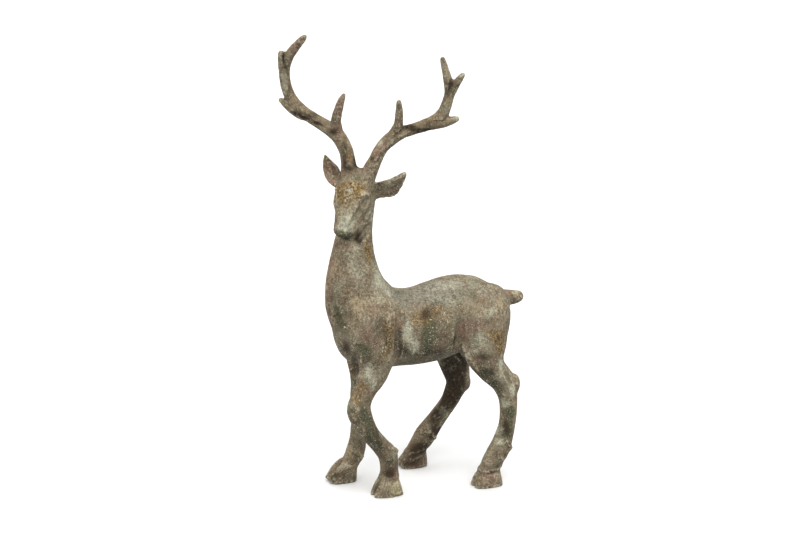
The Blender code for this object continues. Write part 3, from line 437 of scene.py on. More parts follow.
# Carving strokes, placed the same way: frame, both sides or one, points of x, y, z, radius
# and height. A height below zero is a groove.
STROKES = (
    # eye
    (SKULL, True, ((15.6, -10.9, 3.0, 4.4, -2.2), (14.6, -16.9, 4.6, 5.6, -3.2),
        (12.3, -23.3, 4.0, 6, -3), (9.3, -31.4, 2.3, 5, -2), (7.1, -39.3, 0.3, 4, -1))),
    # brow
    (SKULL, True, ((9.7, -15.6, 11.6, 2.6, 0.8), (12.5, -10.5, 12.9, 2.8, 1.6),
        (14.4, -6.2, 8.7, 2.8, 1.6), (17.3, -4.4, 0.8, 2.6, 1))),
    # cheek
    (SKULL, True, ((18.8, -8.7, -7.9, 4.6, 0.5), (18.3, -15.4, -9.8, 4.6, 0.6),
        (15.6, -23.4, -9.3, 4, 0.4))),
    # ridge
    (SKULL, True, ((11.4, -15.0, 10.9, 3.6, 0.9), (8.3, -23.0, 8.9, 3.8, 1.2),
        (5.8, -31.2, 5.1, 3.8, 1), (3.3, -38.7, 2.1, 4, 0.5))),
    # jaw
    (SKULL, True, ((17.4, -19.6, -10.0, 4, 0.7), (14.1, -29.5, -10.4, 4, 0.9),
        (10.4, -38.8, -6.9, 3.6, 0.7))),
    # jawcut
    (SKULL, True, ((19.2, -27.7, -17.3, 4.6, -1.6), (17.4, -34.8, -16.2, 5.4, -3.2),
        (14.5, -41.9, -15.4, 5.4, -3.6), (11.1, -47.0, -14.7, 4, -1.8))),
    # nose
    (SKULL, True, ((-2.3, -45.8, -1.0, 5.5, 1.4), (3.4, -46.7, -3.5, 5.5, 1.8),
        (8.3, -44.1, -5.0, 5, 1))),
    # nostril
    (SKULL, True, ((1.5, -47.8, -4.3, 1.5, -0.5), (4.2, -47.1, -4.8, 1.7, -0.9))),
    # mouth
    (SKULL, True, ((-0.3, -48.6, -13.8, 1.3, -0.4), (4.6, -47.1, -12.5, 1.4, -0.5),
        (7.7, -43.6, -11.9, 1.3, -0.4))),
    # earLrim
    (CROWN, False, ((24.2, 5.5, 7.4, 2.6, 0.7), (30.6, 6.1, 10.4, 2.8, 1.3),
        (38.9, 5.2, 16.8, 2.6, 1.3), (45.3, 7.6, 22.5, 2, 0.7))),
    # earLcup
    (CROWN, False, ((29.2, 11.4, 1.7, 3.4, -0.4), (33.9, 11.3, 4.5, 3.4, -1), (39.4, 10.6, 9.4, 3, -1),
        (44.2, 7.7, 16.5, 2, -0.5))),
    # earLfold
    (CROWN, False, ((28.3, 12.7, -1.6, 1.3, 0.5), (32.9, 12.9, 1.2, 1.4, 0.9),
        (37.5, 12.4, 5.0, 1.2, 0.6))),
    # earLlip
    (CROWN, False, ((25.8, 13.0, -6.0, 1.6, 0.5), (32.0, 15.0, -4.2, 1.8, 0.8),
        (38.4, 14.6, 1.0, 1.6, 0.6))),
    # earRridge
    (CROWN, False, ((-33.7, 7.6, 21.2, 1.8, 0.8), (-30.5, 9.9, 13.7, 2, 1.2),
        (-26.3, 9.2, 6.7, 2, 1.2), (-19.7, 1.5, 0.1, 2, 0.7))),
    # earRcup
    (CROWN, False, ((-32.1, 9.0, 20.4, 1.6, -0.5), (-27.9, 11.1, 14.0, 2.6, -1.3),
        (-22.5, 9.9, 7.3, 2.6, -1.2))),
    # antLridge
    (CROWN, False, ((16.6, 0.9, 29.7, 2.2, 0.8), (19.9, 2.7, 37.8, 2.4, 1.3),
        (24.5, 4.3, 44.1, 2.2, 1.1), (28.4, 5.2, 49.5, 1.8, 0.4))),
    # antLgroove
    (CROWN, False, ((14.4, -0.2, 26.6, 2, -0.6), (18.4, 1.9, 29.0, 2.2, -1.4),
        (22.3, 4.8, 37.0, 2.2, -1.6), (26.7, 7.1, 43.2, 1.8, -1))),
    # antLcrease
    (CROWN, False, ((26.8, 4.8, 47.3, 1.6, -0.6), (29.9, 5.4, 52.6, 1.8, -1),
        (35.3, 6.9, 60.0, 1.8, -1), (39.8, 9.8, 64.3, 2, -0.9))),
    # antLpad
    (CROWN, False, ((34.0, 7.1, 55.0, 2.6, 0.7), (39.0, 8.6, 58.5, 2.6, 0.9),
        (44.2, 9.6, 61.2, 2.2, 0.4))),
    # antLjoin
    (CROWN, False, ((59.8, 11.1, 72.2, 1.4, -0.4), (67.2, 11.6, 74.3, 1.6, -0.9),
        (74.2, 13.7, 76.3, 1.4, -0.6))),
    # antLfork
    (CROWN, False, ((76.6, 4.4, 114.7, 1.8, -0.7), (77.4, 5.5, 107.3, 2.2, -1),
        (76.0, 7.4, 100.5, 2.2, -0.5))),
    # antLknob
    (CROWN, False, ((76.8, 11.7, 88.1, 2.6, 0.6), (74.8, 9.4, 92.7, 2.4, 0.5))),
    # antRgroove
    (CROWN, False, ((-16.9, 3.9, 40.9, 2.4, -0.5), (-12.7, 2.7, 35.1, 2.8, -0.7),
        (-9.2, 1.1, 28.1, 2.4, -0.5), (-4.1, 0.9, 20.4, 2, -0.4))),
    # antRstub
    (CROWN, False, ((-86.6, 0.6, 113.9, 1.7, -1.2), (-86.1, 1.4, 107.3, 1.9, -1.7),
        (-83.5, 4.6, 100.9, 1.8, -1.1), (-82.1, 9.0, 93.2, 1.6, -0.4))),
    # antRlow
    (CROWN, False, ((-84.9, 14.3, 66.4, 1.5, -0.5), (-78.8, 12.1, 64.7, 1.6, -1),
        (-73.0, 11.5, 61.8, 2, -0.9))),
    # antRbeam
    (CROWN, False, ((-69.1, 11.0, 64.4, 2.4, 0.5), (-63.1, 11.7, 63.4, 2.4, 0.8),
        (-54.3, 11.4, 60.0, 2, 0.3))),
    # antRbeamL
    (CROWN, False, ((-66.4, 11.7, 57.1, 2.4, -0.7), (-53.2, 10.2, 54.5, 2.4, -0.8),
        (-38.4, 7.2, 50.5, 2.2, -0.7), (-30.1, 4.6, 48.3, 2, -0.4))),
    # antRbrow
    (CROWN, False, ((-30.7, 3.3, 56.0, 2, -0.5), (-26.7, 4.1, 53.7, 2.4, 0.4),
        (-25.2, 1.4, 64.7, 2.4, 0.4))),
    # brisket
    (BODY, True, ((28.4, -69.9, 151.2, 6, -1), (19.8, -68.5, 137.2, 6.5, -2.4),
        (-18.9, -53.9, 112.9, 6, -2.2), (21.3, -70.3, 114.9, 5, -1.2))),
    # armFront
    (BODY, True, ((29.4, -66.2, 143.2, 3.6, 0.9), (26.1, -64.9, 130.4, 3.6, 1),
        (27.7, -68.7, 119.3, 3.4, 0.6))),
    # shoulder
    (BODY, True, ((4.3, -21.7, 201.8, 6, -0.6), (26.2, -29.3, 189.0, 7, -1),
        (33.3, -31.4, 171.0, 6, -1.8), (32.0, -29.8, 152.8, 7, -2.8), (27.7, -28.9, 136.8, 6, -2.2))),
    # blade
    (BODY, True, ((26.2, -36.6, 194.6, 5, 0.7), (37.7, -41.7, 177.9, 6, 1),
        (37.3, -41.5, 158.2, 5, 0.8))),
    # elbow
    (BODY, True, ((34.0, -35.9, 145.0, 3.6, 0.8), (35.4, -40.7, 137.9, 3.4, 0.6))),
    # ribs
    (BODY, True, ((32.9, -16.5, 169.5, 7, 0.9), (33.3, -15.6, 154.6, 7, 1.1),
        (29.4, -10.6, 141.2, 6, 0.6))),
    # haunchline
    (BODY, True, ((32.1, 36.4, 175.2, 8, -0.6), (31.2, 37.0, 160.9, 8, -1.4),
        (28.7, 36.1, 148.3, 7, -2.2), (25.2, 35.7, 139.5, 5, -1.6))),
    # fold
    (BODY, True, ((29.0, 41.5, 141.8, 3.6, 1.4), (32.3, 45.5, 133.0, 4, 2.4),
        (36.1, 50.3, 125.3, 3.8, 1.8), (36.8, 55.5, 117.7, 3.4, 0.9))),
    # foldin
    (BODY, True, ((-15.5, 58.2, 122.3, 3.4, -1.6), (-17.8, 65.1, 114.7, 3, -1.4))),
    # thigh
    (BODY, True, ((38.9, 53.8, 171.0, 10, 1), (41.6, 59.2, 154.0, 10, 1.6),
        (42.4, 61.2, 138.8, 9, 1.2))),
    # bellyline
    (BODY, True, ((24.4, 3.5, 133.6, 4, 0.4), (26.4, 18.8, 137.5, 4, 0.5),
        (28.7, 28.6, 143.0, 3.6, 0.4))),
    # hockgroove
    (BODY, False, ((41.6, 80.8, 118.2, 4, -1.4), (42.4, 86.2, 108.5, 3.8, -2),
        (42.8, 89.5, 98.0, 3.2, -1.4))),
    # hockpoint
    (BODY, False, ((38.2, 95.3, 107.5, 3, 0.7), (40.8, 96.3, 100.8, 3, 0.8))),
    # hockin
    (BODY, False, ((40.2, 80.9, 92.1, 3, 0.6), (41.7, 84.6, 86.9, 3, 0.7),
        (43.1, 87.4, 79.7, 2.8, 0.5))),
    # cannonNH
    (BODY, False, ((38.6, 82.0, 73.9, 2.2, -0.6), (42.6, 81.3, 59.6, 2.4, -0.9),
        (46.1, 76.2, 45.6, 2.2, -0.6))),
    # fetNH
    (BODY, False, ((46.3, 73.9, 42.9, 5, 0.9), (48.4, 81.8, 44.5, 4.4, 1.4),
        (46.4, 87.5, 36.9, 3.6, 2.2), (49.6, 79.1, 29.6, 3.6, -1.2))),
    # knee
    (BODY, False, ((31.0, -75.4, 97.2, 4, 0.6), (29.7, -78.0, 90.2, 4, 0.8),
        (32.2, -75.0, 82.6, 3.6, 0.7))),
    # kneeback
    (BODY, False, ((34.4, -63.3, 98.7, 3, -0.7), (34.7, -62.4, 90.7, 3, -1),
        (35.6, -66.0, 82.4, 3, -0.5))),
    # tendNF
    (BODY, False, ((33.0, -56.6, 77.5, 2.2, -0.5), (32.3, -49.0, 63.2, 2.4, -0.8),
        (33.9, -42.3, 51.7, 2.2, -0.5))),
    # fetNF
    (BODY, False, ((33.2, -37.8, 49.8, 4, 1), (29.5, -29.8, 44.6, 3, 2.2),
        (34.4, -40.5, 34.3, 3.4, -0.9))),
    # tendFH
    (BODY, False, ((-26.9, 51.7, 59.5, 2.4, -0.6), (-28.1, 43.2, 47.3, 2.4, -0.8),
        (-28.7, 34.4, 35.4, 2.2, -0.5))),
    # fetFH
    (BODY, False, ((-33.9, 25.4, 38.2, 5, 0.9), (-28.8, 34.4, 38.5, 4.4, 1.2),
        (-30.4, 39.8, 30.9, 3.8, 2.2), (-30.8, 30.9, 22.2, 3.8, -1.6))),
    # fetFF
    (BODY, False, ((-21.3, -55.6, 32.5, 4, 0.9), (-19.2, -46.8, 26.7, 2.6, 3.4),
        (-19.2, -53.3, 19.2, 3, -1.2))),
    # tailroot
    (BODY, False, ((1.4, 103.5, 188.5, 3.4, -0.5), (26.0, 88.0, 189.5, 3.4, -1),
        (30.4, 88.0, 183.2, 3.2, -1))),
    # neckfold
    (BODY, False, ((17.6, -65.8, 250.7, 4, -0.7), (17.3, -59.5, 255.0, 4, -0.9),
        (15.1, -52.4, 259.9, 3.4, -0.6))),
    # neckcord
    (BODY, False, ((10.4, -46.4, 246.1, 4, 0.7), (15.0, -46.3, 230.4, 5, 0.8),
        (14.3, -39.8, 216.0, 6, 0.6))),
)

# Each hoof's centre, the height of its top edge there, the climb of that edge toward the
# heel, and how far the band over it stands out
CORONETS = (
    ((26.5, -36.0), 18.0, 0.05, 0.25),
    ((-28.5, -58.0), 16.0, 0.3, 0.3),
    ((42.5, 66.0), 16.5, 0.12, 0.65),
    ((-41.0, 24.0), 17.0, 0.2, 0.3),
)
HOOF_REACH = 26.0

# The band over that edge and the step under it, from the edge's height
BAND_PLACE = 1.5
BAND_WIDTH = 1.7
STEP_PLACE = -1.5
STEP_WIDTH = 1.5
STEP_DEPTH = 0.9


def to_frame(points, where):
    """Points of the deer's frame as seen in another frame."""
    inverse = np.array(where.inverted())
    return points @ inverse[:3, :3].T + inverse[:3, 3]


def stroke_height(local, path):
    """Height of one stroke at each point."""
    path = np.array(path, float)
    best = np.zeros(len(local))
    for start, end in zip(path[:-1], path[1:]):
        along = end[:3] - start[:3]
        share = np.clip((local - start[:3]) @ along / (along @ along), 0, 1)
        near = start[:3] + share[:, None] * along
        away = np.linalg.norm(local - near, axis=1)
        radius = start[3] + share * (end[3] - start[3])
        rise = start[4] + share * (end[4] - start[4])
        height = rise * np.clip(1 - (away / radius) ** 2, 0, None) ** 2
        best = np.where(np.abs(height) > np.abs(best), height, best)
    return best


def coronet_height(points):
    """A raised band round the top of each hoof, with a shallow step under it."""
    total = np.zeros(len(points))
    for centre, height, slope, rise in CORONETS:
        near = np.linalg.norm(points[:, :2] - centre, axis=1) < HOOF_REACH
        above = points[:, 2] - height - slope * (points[:, 1] - centre[1])
        band = np.exp(-((above - BAND_PLACE) / BAND_WIDTH) ** 2)
        band -= STEP_DEPTH * np.exp(-((above - STEP_PLACE) / STEP_WIDTH) ** 2)
        total += np.where(near, rise * band, 0)
    return total


def strokes_height(points):
    """Height of all the carving strokes at each point."""
    total = np.zeros(len(points))
    for where, both_sides, path in STROKES:
        local = to_frame(points, where)
        total += stroke_height(local, path)
        if both_sides:
            total += stroke_height(local * (-1, 1, 1), path)
    return total


def hashed(cells, seed):
    """A steady number from 0 to 1 for each whole-numbered cell."""
    mixed = (cells * (73856093, 19349663, 83492791)).sum(axis=1) + seed * 49979687
    mixed = (mixed ^ (mixed >> 15)) * 2246822519 & 0xFFFFFFFF
    mixed = (mixed ^ (mixed >> 13)) * 3266489917 & 0xFFFFFFFF
    return ((mixed ^ (mixed >> 16)) & 0xFFFFFF) / 0xFFFFFF


def value_noise(points, size, seed):
    """Smooth noise from -1 to 1 with features of about size."""
    scaled = points / size
    cells = np.floor(scaled).astype(np.int64)
    share = scaled - cells
    share = share * share * (3 - 2 * share)
    total = np.zeros(len(points))
    for corner in np.ndindex(2, 2, 2):
        weight = np.prod(np.where(corner, share, 1 - share), axis=1)
        total += weight * hashed(cells + corner, seed)
    return 2 * total - 1


def fractal(points, size, octaves, seed, falloff=0.5):
    """Noise of several sizes, each half the last, from -1 to 1."""
    total = np.zeros(len(points))
    reach = 0.0
    for octave in range(octaves):
        share = falloff**octave
        total += share * value_noise(points, size / 2**octave, seed + octave)
        reach += share
    return total / reach


def scattered(points, size, seed):
    """Distance to the nearest of scattered seeds as a share of size, and its number."""
    scaled = points / size
    cells = np.floor(scaled).astype(np.int64)
    nearest = np.full(len(points), 9.0)
    number = np.zeros(len(points))
    for step in np.ndindex(3, 3, 3):
        cell = cells + step - 1
        jitter = np.stack([hashed(cell, seed + axis) for axis in range(3)], axis=1)
        away = np.linalg.norm(scaled - cell - jitter, axis=1)
        closer = away < nearest
        nearest = np.where(closer, away, nearest)
        number = np.where(closer, hashed(cell, seed + 3), number)
    return nearest, number


def mesh_points(mesh):
    """Vertex places in the deer's frame, in millimetres."""
    flat = np.empty(len(mesh.vertices) * 3)
    mesh.vertices.foreach_get("co", flat)
    return flat.reshape(-1, 3) / MM - np.array(ORIGIN_SHIFT)


def mesh_normals(mesh):
    """Vertex normals of the mesh."""
    flat = np.empty(len(mesh.vertices) * 3)
    mesh.vertex_normals.foreach_get("vector", flat)
    return flat.reshape(-1, 3)


def set_points(mesh, points):
    """Moves the vertices, with nothing below the ground."""
    placed = (points + np.array(ORIGIN_SHIFT)) * MM
    placed[:, 2] = np.maximum(placed[:, 2], 0)
    mesh.vertices.foreach_set("co", placed.ravel())
    mesh.update()


def settled(obj):
    """The object's mesh with its modifiers worked in; the object is removed."""
    graph = bpy.context.evaluated_depsgraph_get()
    mesh = bpy.data.meshes.new_from_object(obj.evaluated_get(graph))
    bpy.data.objects.remove(obj, do_unlink=True)
    return mesh


def placed_object(name, data):
    """A new object in the scene for a mesh, a light or a camera."""
    obj = bpy.data.objects.new(name, data)
    bpy.context.scene.collection.objects.link(obj)
    return obj


def rounded_solid(node):
    """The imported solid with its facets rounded."""
    bm = bmesh.new()
    bm.from_mesh(node.data)
    bmesh.ops.remove_doubles(bm, verts=bm.verts, dist=WELD)
    mesh = bpy.data.meshes.new("rounded")
    bm.to_mesh(mesh)
    bm.free()
    solid = placed_object("rounded", mesh)
    rounding = solid.modifiers.new("Rounding", "SUBSURF")
    rounding.levels = ROUNDING_LEVELS
    rounding.render_levels = ROUNDING_LEVELS
    return settled(solid)


def fine_skin(node):
    """Closed fine mesh over the rounded solid."""
    skin = placed_object("skin", rounded_solid(node))
    remesh = skin.modifiers.new("Skin", "REMESH")
    remesh.mode = "VOXEL"
    remesh.voxel_size = SKIN_VOXEL * MM
    relax = skin.modifiers.new("Relax", "SMOOTH")
    relax.factor = 0.5
    relax.iterations = SKIN_RELAX
    return settled(skin)


def carve(mesh):
    """Works the strokes and the hooves' bands into the mesh."""
    points = mesh_points(mesh)
    height = strokes_height(points) + coronet_height(points)
    points += mesh_normals(mesh) * height[:, None]
    set_points(mesh, points)


def antler_share(points):
    """0 on the body and head, 1 on the antlers."""
    return np.clip((points[:, 2] - ANTLER_FROM) / ANTLER_BLEND, 0, 1)


def roughen(mesh):
    """The uneven skin of a rough casting, with its soles left flat."""
    points = mesh_points(mesh)
    height = SWELL_HEIGHT * fractal(points, SWELL_SIZE, 3, 11)
    height += KNURL_HEIGHT * antler_share(points) * fractal(points, KNURL_SIZE, 2, 17)
    height += SAND_HEIGHT * fractal(points, SAND_SIZE, 2, 23)
    pits, number = scattered(points, PIT_SPACING, 37)
    bowl = np.clip(1 - (pits / PIT_WIDTH) ** 2, 0, None)
    height -= PIT_DEPTH * bowl * (number > UNPITTED_SHARE)
    above_sole = np.clip(points[:, 2] / SOLE_FADE, 0, 1)
    points += mesh_normals(mesh) * (height * above_sole)[:, None]
    set_points(mesh, points)


def thinned(mesh, triangles):
    """The mesh reduced to a number of triangles."""
    obj = placed_object("thinned", mesh)
    thin = obj.modifiers.new("Thin", "DECIMATE")
    thin.ratio = triangles / (2 * len(mesh.polygons))
    return settled(obj)


def patch_strength(points, patches):
    """Summed strength of a layer's patches at each point."""
    total = np.zeros(len(points))
    for x, y, z, *radii, strength in patches:
        places = [np.array((x, y, z))]
        if x > HIDDEN_FROM and z < HEAD_FROM:
            places.append(places[0] * HIDDEN_SIDE + HIDDEN_SHIFT)
        for place in places:
            reach = (((points - place) / radii) ** 2).sum(axis=1)
            total += strength * np.exp(-reach)
    return np.clip(total, 0, FULL_PATCH)


def neighbour_mean(values, ends):
    """Mean of each vertex's neighbours along the mesh's edges."""
    first, second = ends[:, 0], ends[:, 1]
    count = np.bincount(ends.ravel(), minlength=len(values))
    total = np.zeros_like(values)
    for axis in range(values.shape[1]):
        total[:, axis] += np.bincount(first, values[second, axis], len(values))
        total[:, axis] += np.bincount(second, values[first, axis], len(values))
    return total / np.maximum(count, 1)[:, None]


def edge_wear(mesh, points, normals):
    """How far each vertex stands proud of its smoothed surroundings, in millimetres."""
    ends = np.empty(len(mesh.edges) * 2, np.int32)
    mesh.edges.foreach_get("vertices", ends)
    ends = ends.reshape(-1, 2)
    smoothed = points
    for _ in range(WEAR_PASSES):
        smoothed = neighbour_mean(smoothed, ends)
    return ((points - smoothed) * normals).sum(axis=1)


def shelter(mesh, points, normals):
    """Share of the directions above each vertex that the casting itself blocks."""
    faces = [tuple(polygon.vertices) for polygon in mesh.polygons]
    tree = BVHTree.FromPolygons([tuple(point) for point in points], faces)
    random = np.random.default_rng(5)
    directions = random.normal(size=(SHELTER_RAYS, 3))
    directions /= np.linalg.norm(directions, axis=1)[:, None]
    blocked = np.zeros(len(points))
    starts = points + normals * SHELTER_LIFT
    for direction in directions:
        aimed = direction + normals * SHELTER_LEAN
        aimed /= np.linalg.norm(aimed, axis=1)[:, None]
        for i in range(len(points)):
            hit = tree.ray_cast(starts[i], aimed[i], SHELTER_REACH)
            blocked[i] += hit[0] is not None
    return blocked / SHELTER_RAYS


def store(mesh, name, values):
    """Keeps one number a vertex under a layer's name."""
    layer = mesh.attributes.new(name, "FLOAT", "POINT")
    layer.data.foreach_set("value", values.astype(np.float32))


def paint_layers(mesh):
    """Stores where each layer of the patina and of the painted shade and highlights lies, for the
    material to read.
    """
    points, normals = mesh_points(mesh), mesh_normals(mesh)
    warp = [fractal(points, WARP_SIZE, 3, WARP_SEED + axis) for axis in range(3)]
    warped = points + WARP_REACH * np.stack(warp, axis=1)
    for name, patches in PATCHES.items():
        if name != "shade_and_dirt_thinned":
            store(mesh, name, patch_strength(warped, patches))
    store(mesh, "wear", np.clip(edge_wear(mesh, points, normals) / FULL_WEAR, -1, 1))
    # The painted shade and dirt is thinned in the listed places
    thinning = SHADE_AND_DIRT_THINNING * patch_strength(points, PATCHES["shade_and_dirt_thinned"])
    # Painted shade and dirt: the share of the directions above each place that the casting blocks
    store(mesh, "shade_and_dirt", shelter(mesh, points, normals) - thinning)
    # Which way each place faces, up or down, for the painted shade of downward faces
    store(mesh, "sky", normals[:, 2])
    store(mesh, "antler", antler_share(points))


class Finish:
    """Short calls for the nodes of one material."""

    def __init__(self, name):
        self.material = bpy.data.materials.new(name)
        self.material.use_nodes = True
        self.tree = self.material.node_tree
        self.shader = self.tree.nodes["Principled BSDF"]
        self.place = self.tree.nodes.new("ShaderNodeTexCoord").outputs["Object"]

    def feed(self, socket, value):
        """Links or sets one input."""
        if isinstance(value, bpy.types.NodeSocket):
            self.tree.links.new(value, socket)
        elif isinstance(value, tuple):
            socket.default_value = (*value, 1.0)
        else:
            socket.default_value = value

    def noise(self, size, detail=4.0, roughness=0.55, twist=0.0):
        """Noise from 0 to 1 with features of about size millimetres."""
        node = self.tree.nodes.new("ShaderNodeTexNoise")
        self.feed(node.inputs["Vector"], self.place)
        node.inputs["Scale"].default_value = 1000 / size
        node.inputs["Detail"].default_value = detail
        node.inputs["Roughness"].default_value = roughness
        node.inputs["Distortion"].default_value = twist
        return node.outputs["Fac"]

    def layer(self, name):
        """A layer stored on the mesh."""
        node = self.tree.nodes.new("ShaderNodeAttribute")
        node.attribute_name = name
        return node.outputs["Fac"]

    def math(self, operation, first, second=0.0, third=0.0):
        """One arithmetic step."""
        node = self.tree.nodes.new("ShaderNodeMath")
        node.operation = operation
        for socket, value in zip(node.inputs, (first, second, third)):
            self.feed(socket, value)
        return node.outputs["Value"]

    def step(self, value, low, high, bottom=0.0, top=1.0):
        """Smooth rise from bottom to top as value goes from low to high."""
        node = self.tree.nodes.new("ShaderNodeMapRange")
        node.interpolation_type = "SMOOTHSTEP"
        for socket, number in zip(node.inputs, (value, low, high, bottom, top)):
            self.feed(socket, number)
        return node.outputs["Result"]

    def blend(self, share, under, over, mode="MIX"):
        """One colour laid over another."""
        node = self.tree.nodes.new("ShaderNodeMix")
        node.data_type = "RGBA"
        node.blend_type = mode
        self.feed(node.inputs["Factor"], share)
        self.feed(node.inputs["A"], under)
        self.feed(node.inputs["B"], over)
        return node.outputs["Result"]

    def grey(self, value):
        """A grey of the given value."""
        node = self.tree.nodes.new("ShaderNodeCombineColor")
        for socket in node.inputs[:3]:
            self.feed(socket, value)
        return node.outputs["Color"]

    def ramp(self, value, stops):
        """Colours by value."""
        node = self.tree.nodes.new("ShaderNodeValToRGB")
        self.feed(node.inputs["Fac"], value)
        marks = node.color_ramp.elements
        while len(marks) < len(stops):
            marks.new(0.5)
        for mark, (position, colour) in zip(marks, stops):
            mark.position = position
            mark.color = (*colour, 1.0)
        return node.outputs["Color"]


def make_ground(finish, broad, middle):
    """Mottled brown ground, with a tone of its own on the antlers."""
    mottle = finish.math("MULTIPLY_ADD", middle, 0.55, finish.math("MULTIPLY", broad, 0.45))
    colour = finish.ramp(mottle, ((0.38, BROWN), (0.5, TAUPE), (0.64, BEIGE)))
    hue = finish.noise(HUE_SIZE, 5, 0.6, 0.8)
    colour = finish.blend(finish.step(hue, 0.54, 0.68, 0.0, 0.55), colour, GREEN_GREY)
    colour = finish.blend(finish.step(hue, 0.46, 0.34, 0.0, 0.5), colour, PINK_BROWN)
    antler_tone = finish.ramp(
        middle,
        ((0.23, ANTLER_DARK), (0.5, ANTLER_WARM), (0.79, ANTLER_PALE)),
    )
    antler = finish.step(finish.layer("antler"), 0, 1, 0, ANTLER_TONE)
    return finish.blend(antler, colour, antler_tone)


def lay_coats(finish, colour, middle, fine):
    """The patches over the ground, painted shade and painted highlights among them, broken up by
    noise; the dark one's share comes too.
    """
    rag = finish.math("MULTIPLY", middle, RAG_SHARE)
    rag = finish.math("MULTIPLY_ADD", fine, RAG_SHARE, rag)
    rust = finish.ramp(fine, ((0.35, RUST_DEEP), (0.5, RUST), (0.65, GOLD)))
    shares = {}
    for layer, coat, most, low, high, raggedness in COATS:
        ragged = finish.math("MULTIPLY_ADD", rag, raggedness, finish.layer(layer))
        middling = raggedness * RAG_SHARE
        shares[layer] = finish.step(ragged, low + middling, high + middling, 0.0, most)
        colour = finish.blend(shares[layer], colour, coat or rust)
    return colour, shares["dark"]


def aged_finish():
    """The material: ground, patches, painted shade on downward faces, painted shade and dirt in
    sheltered places, wear, grain, specks and crust in that order.
    """
    finish = Finish("aged_cast_finish")
    broad = finish.noise(BROAD_SIZE, 6, 0.62, 0.2)
    middle = finish.noise(MIDDLE_SIZE, 6, 0.65, 0.2)
    fine = finish.noise(FINE_SIZE, 4, 0.7)
    grit = finish.noise(GRIT_SIZE, 2, 0.6)
    colour = make_ground(finish, broad, middle)
    colour, dark = lay_coats(finish, colour, middle, fine)

    # Painted shade and light by facing: the colour goes from 0.3 of itself on surfaces facing down to
    # 1.03 on those facing up
    sky = finish.step(finish.layer("sky"), -0.9, 0.9, 0.3, 1.03)
    colour = finish.blend(1.0, colour, finish.grey(sky), "MULTIPLY")
    # Painted shade and dirt in sheltered places: darker where the casting blocks more of the
    # directions above
    shade_and_dirt = finish.step(finish.layer("shade_and_dirt"), 0.12, 0.8, 0.0, 0.9)
    colour = finish.blend(shade_and_dirt, colour, SHADE_AND_DIRT)

    smooth = finish.math("MULTIPLY", finish.layer("antler"), ANTLER_SMOOTH)
    smooth = finish.math("MAXIMUM", finish.layer("smooth"), smooth)
    wear = finish.step(finish.layer("wear"), 0.25, 0.9, 0.0, 0.5)
    unworn_green = finish.step(finish.layer("green"), 0.3, 1.2, 1.0, 0.0)
    wear = finish.math("MULTIPLY", wear, unworn_green)
    wear = finish.math("MULTIPLY", wear, finish.step(smooth, 0.1, 1.0, 1.0, 0.3))
    wear = finish.math("MULTIPLY", wear, finish.step(fine, 0.4, 0.6))
    colour = finish.blend(wear, colour, WORN)
    grain = finish.ramp(fine, ((0.3, GRAIN_DARK), (0.5, GRAIN_EVEN), (0.7, GRAIN_LIGHT)))
    colour = finish.blend(finish.step(smooth, 0.1, 1.0, 0.85, 0.4), colour, grain, "MULTIPLY")

    on_light = finish.step(dark, 0.2, 0.9, 1.0, 0.2)
    specks = finish.math("MULTIPLY", finish.step(grit, 0.60, 0.69, 0.0, 0.6), on_light)
    colour = finish.blend(specks, colour, PALE_SPECK)
    soot = finish.step(grit, 0.42, 0.34, 0.0, 0.8)
    soot = finish.math("MULTIPLY", soot, finish.step(smooth, 0.1, 1.0, 1.0, 0.4))
    colour = finish.blend(soot, colour, DARK_SPECK)
    flecked = finish.math("MULTIPLY", finish.layer("fleck"), FLECK_PULL)
    crust = finish.math("ADD", finish.noise(CRUST_SIZE, 3, 0.6, 2.2), flecked)
    crust = finish.math("MULTIPLY", finish.step(crust, 0.67, 0.71), on_light)
    colour = finish.blend(crust, colour, FLECK)

    finish.feed(finish.shader.inputs["Base Color"], colour)
    roughness = finish.step(fine, 0.3, 0.7, ROUGHEST, SMOOTHEST)
    finish.feed(finish.shader.inputs["Roughness"], roughness)
    finish.shader.inputs["Specular IOR Level"].default_value = SPECULAR
    height = finish.math("MULTIPLY_ADD", grit, 0.5, fine)
    height = finish.math("MULTIPLY_ADD", crust, 1.2, height)
    bump = finish.tree.nodes.new("ShaderNodeBump")
    bump.inputs["Strength"].default_value = BUMP_STRENGTH
    bump.inputs["Distance"].default_value = BUMP_DEPTH
    finish.feed(bump.inputs["Height"], height)
    finish.feed(finish.shader.inputs["Normal"], bump.outputs["Normal"])
    return finish.material


def make_deer():
    """The finished casting."""
    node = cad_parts["reindeer"]
    mesh = fine_skin(node)
    carve(mesh)
    roughen(mesh)
    mesh = thinned(mesh, TRIANGLES_KEPT)
    mesh.name = "reindeer_casting"
    deer = placed_object("reindeer_casting", mesh)
    mesh.shade_smooth()
    paint_layers(mesh)
    mesh.materials.append(aged_finish())
    return deer


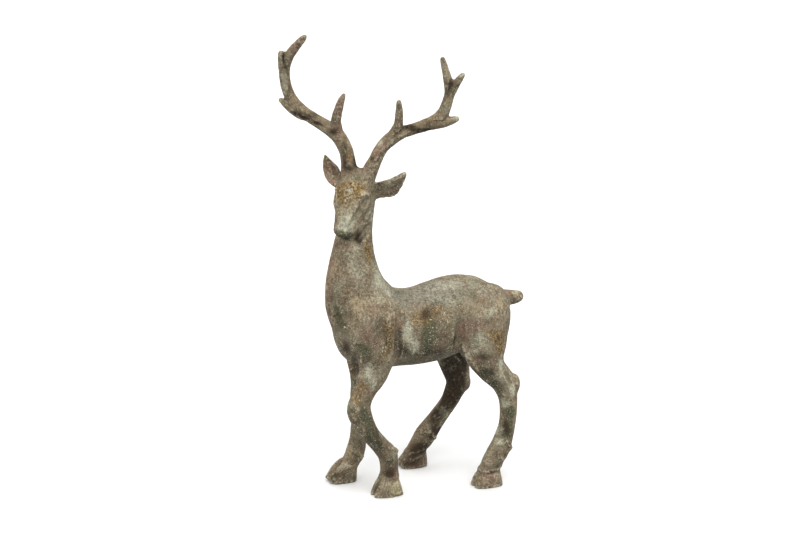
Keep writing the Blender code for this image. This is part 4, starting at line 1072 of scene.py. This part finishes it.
def make_camera():
    """The camera at the photograph's viewing angle."""
    azimuth = math.radians(CAMERA_AZIMUTH)
    elevation = math.radians(CAMERA_ELEVATION)
    back = Vector((
        math.sin(azimuth) * math.cos(elevation),
        -math.cos(azimuth) * math.cos(elevation),
        math.sin(elevation),
    ))
    data = bpy.data.cameras.new("photo_camera")
    data.lens = LENS
    data.sensor_width = SENSOR
    camera = placed_object("photo_camera", data)
    camera.location = (Vector(CAMERA_TARGET) + back * CAMERA_DISTANCE) * MM
    camera.rotation_euler = (-back).to_track_quat("-Z", "Y").to_euler()
    bpy.context.scene.camera = camera


def make_sun(name, azimuth, elevation, strength, softness):
    """A soft sun; azimuth and elevation say where it shines from, as for the camera."""
    data = bpy.data.lights.new(name, "SUN")
    data.energy = strength
    data.angle = math.radians(softness)
    sun = placed_object(name, data)
    a, e = math.radians(azimuth), math.radians(elevation)
    away = Vector((math.sin(a) * math.cos(e), -math.cos(a) * math.cos(e), math.sin(e)))
    sun.rotation_euler = away.to_track_quat("Z", "Y").to_euler()


def make_studio():
    """Pale floor, even white surroundings and two soft suns."""
    floor_mesh = bpy.data.meshes.new("floor")
    bm = bmesh.new()
    bmesh.ops.create_grid(bm, x_segments=1, y_segments=1, size=FLOOR_HALF)
    bm.to_mesh(floor_mesh)
    bm.free()
    floor = placed_object("floor", floor_mesh)
    paint = bpy.data.materials.new("studio_floor")
    paint.use_nodes = True
    shader = paint.node_tree.nodes["Principled BSDF"]
    shader.inputs["Base Color"].default_value = (*FLOOR_COLOUR, 1.0)
    shader.inputs["Roughness"].default_value = 0.9
    floor_mesh.materials.append(paint)
    world = bpy.data.worlds.new("studio")
    bpy.context.scene.world = world
    world.use_nodes = True
    sky = world.node_tree.nodes["Background"]
    sky.inputs["Color"].default_value = (1.0, 1.0, 1.0, 1.0)
    sky.inputs["Strength"].default_value = 1.0
    for sun in SUNS:
        make_sun(*sun)
    bpy.context.scene.view_settings.view_transform = "Standard"


deer = make_deer()
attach(deer, "root")
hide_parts("reindeer")
make_camera()
make_studio()
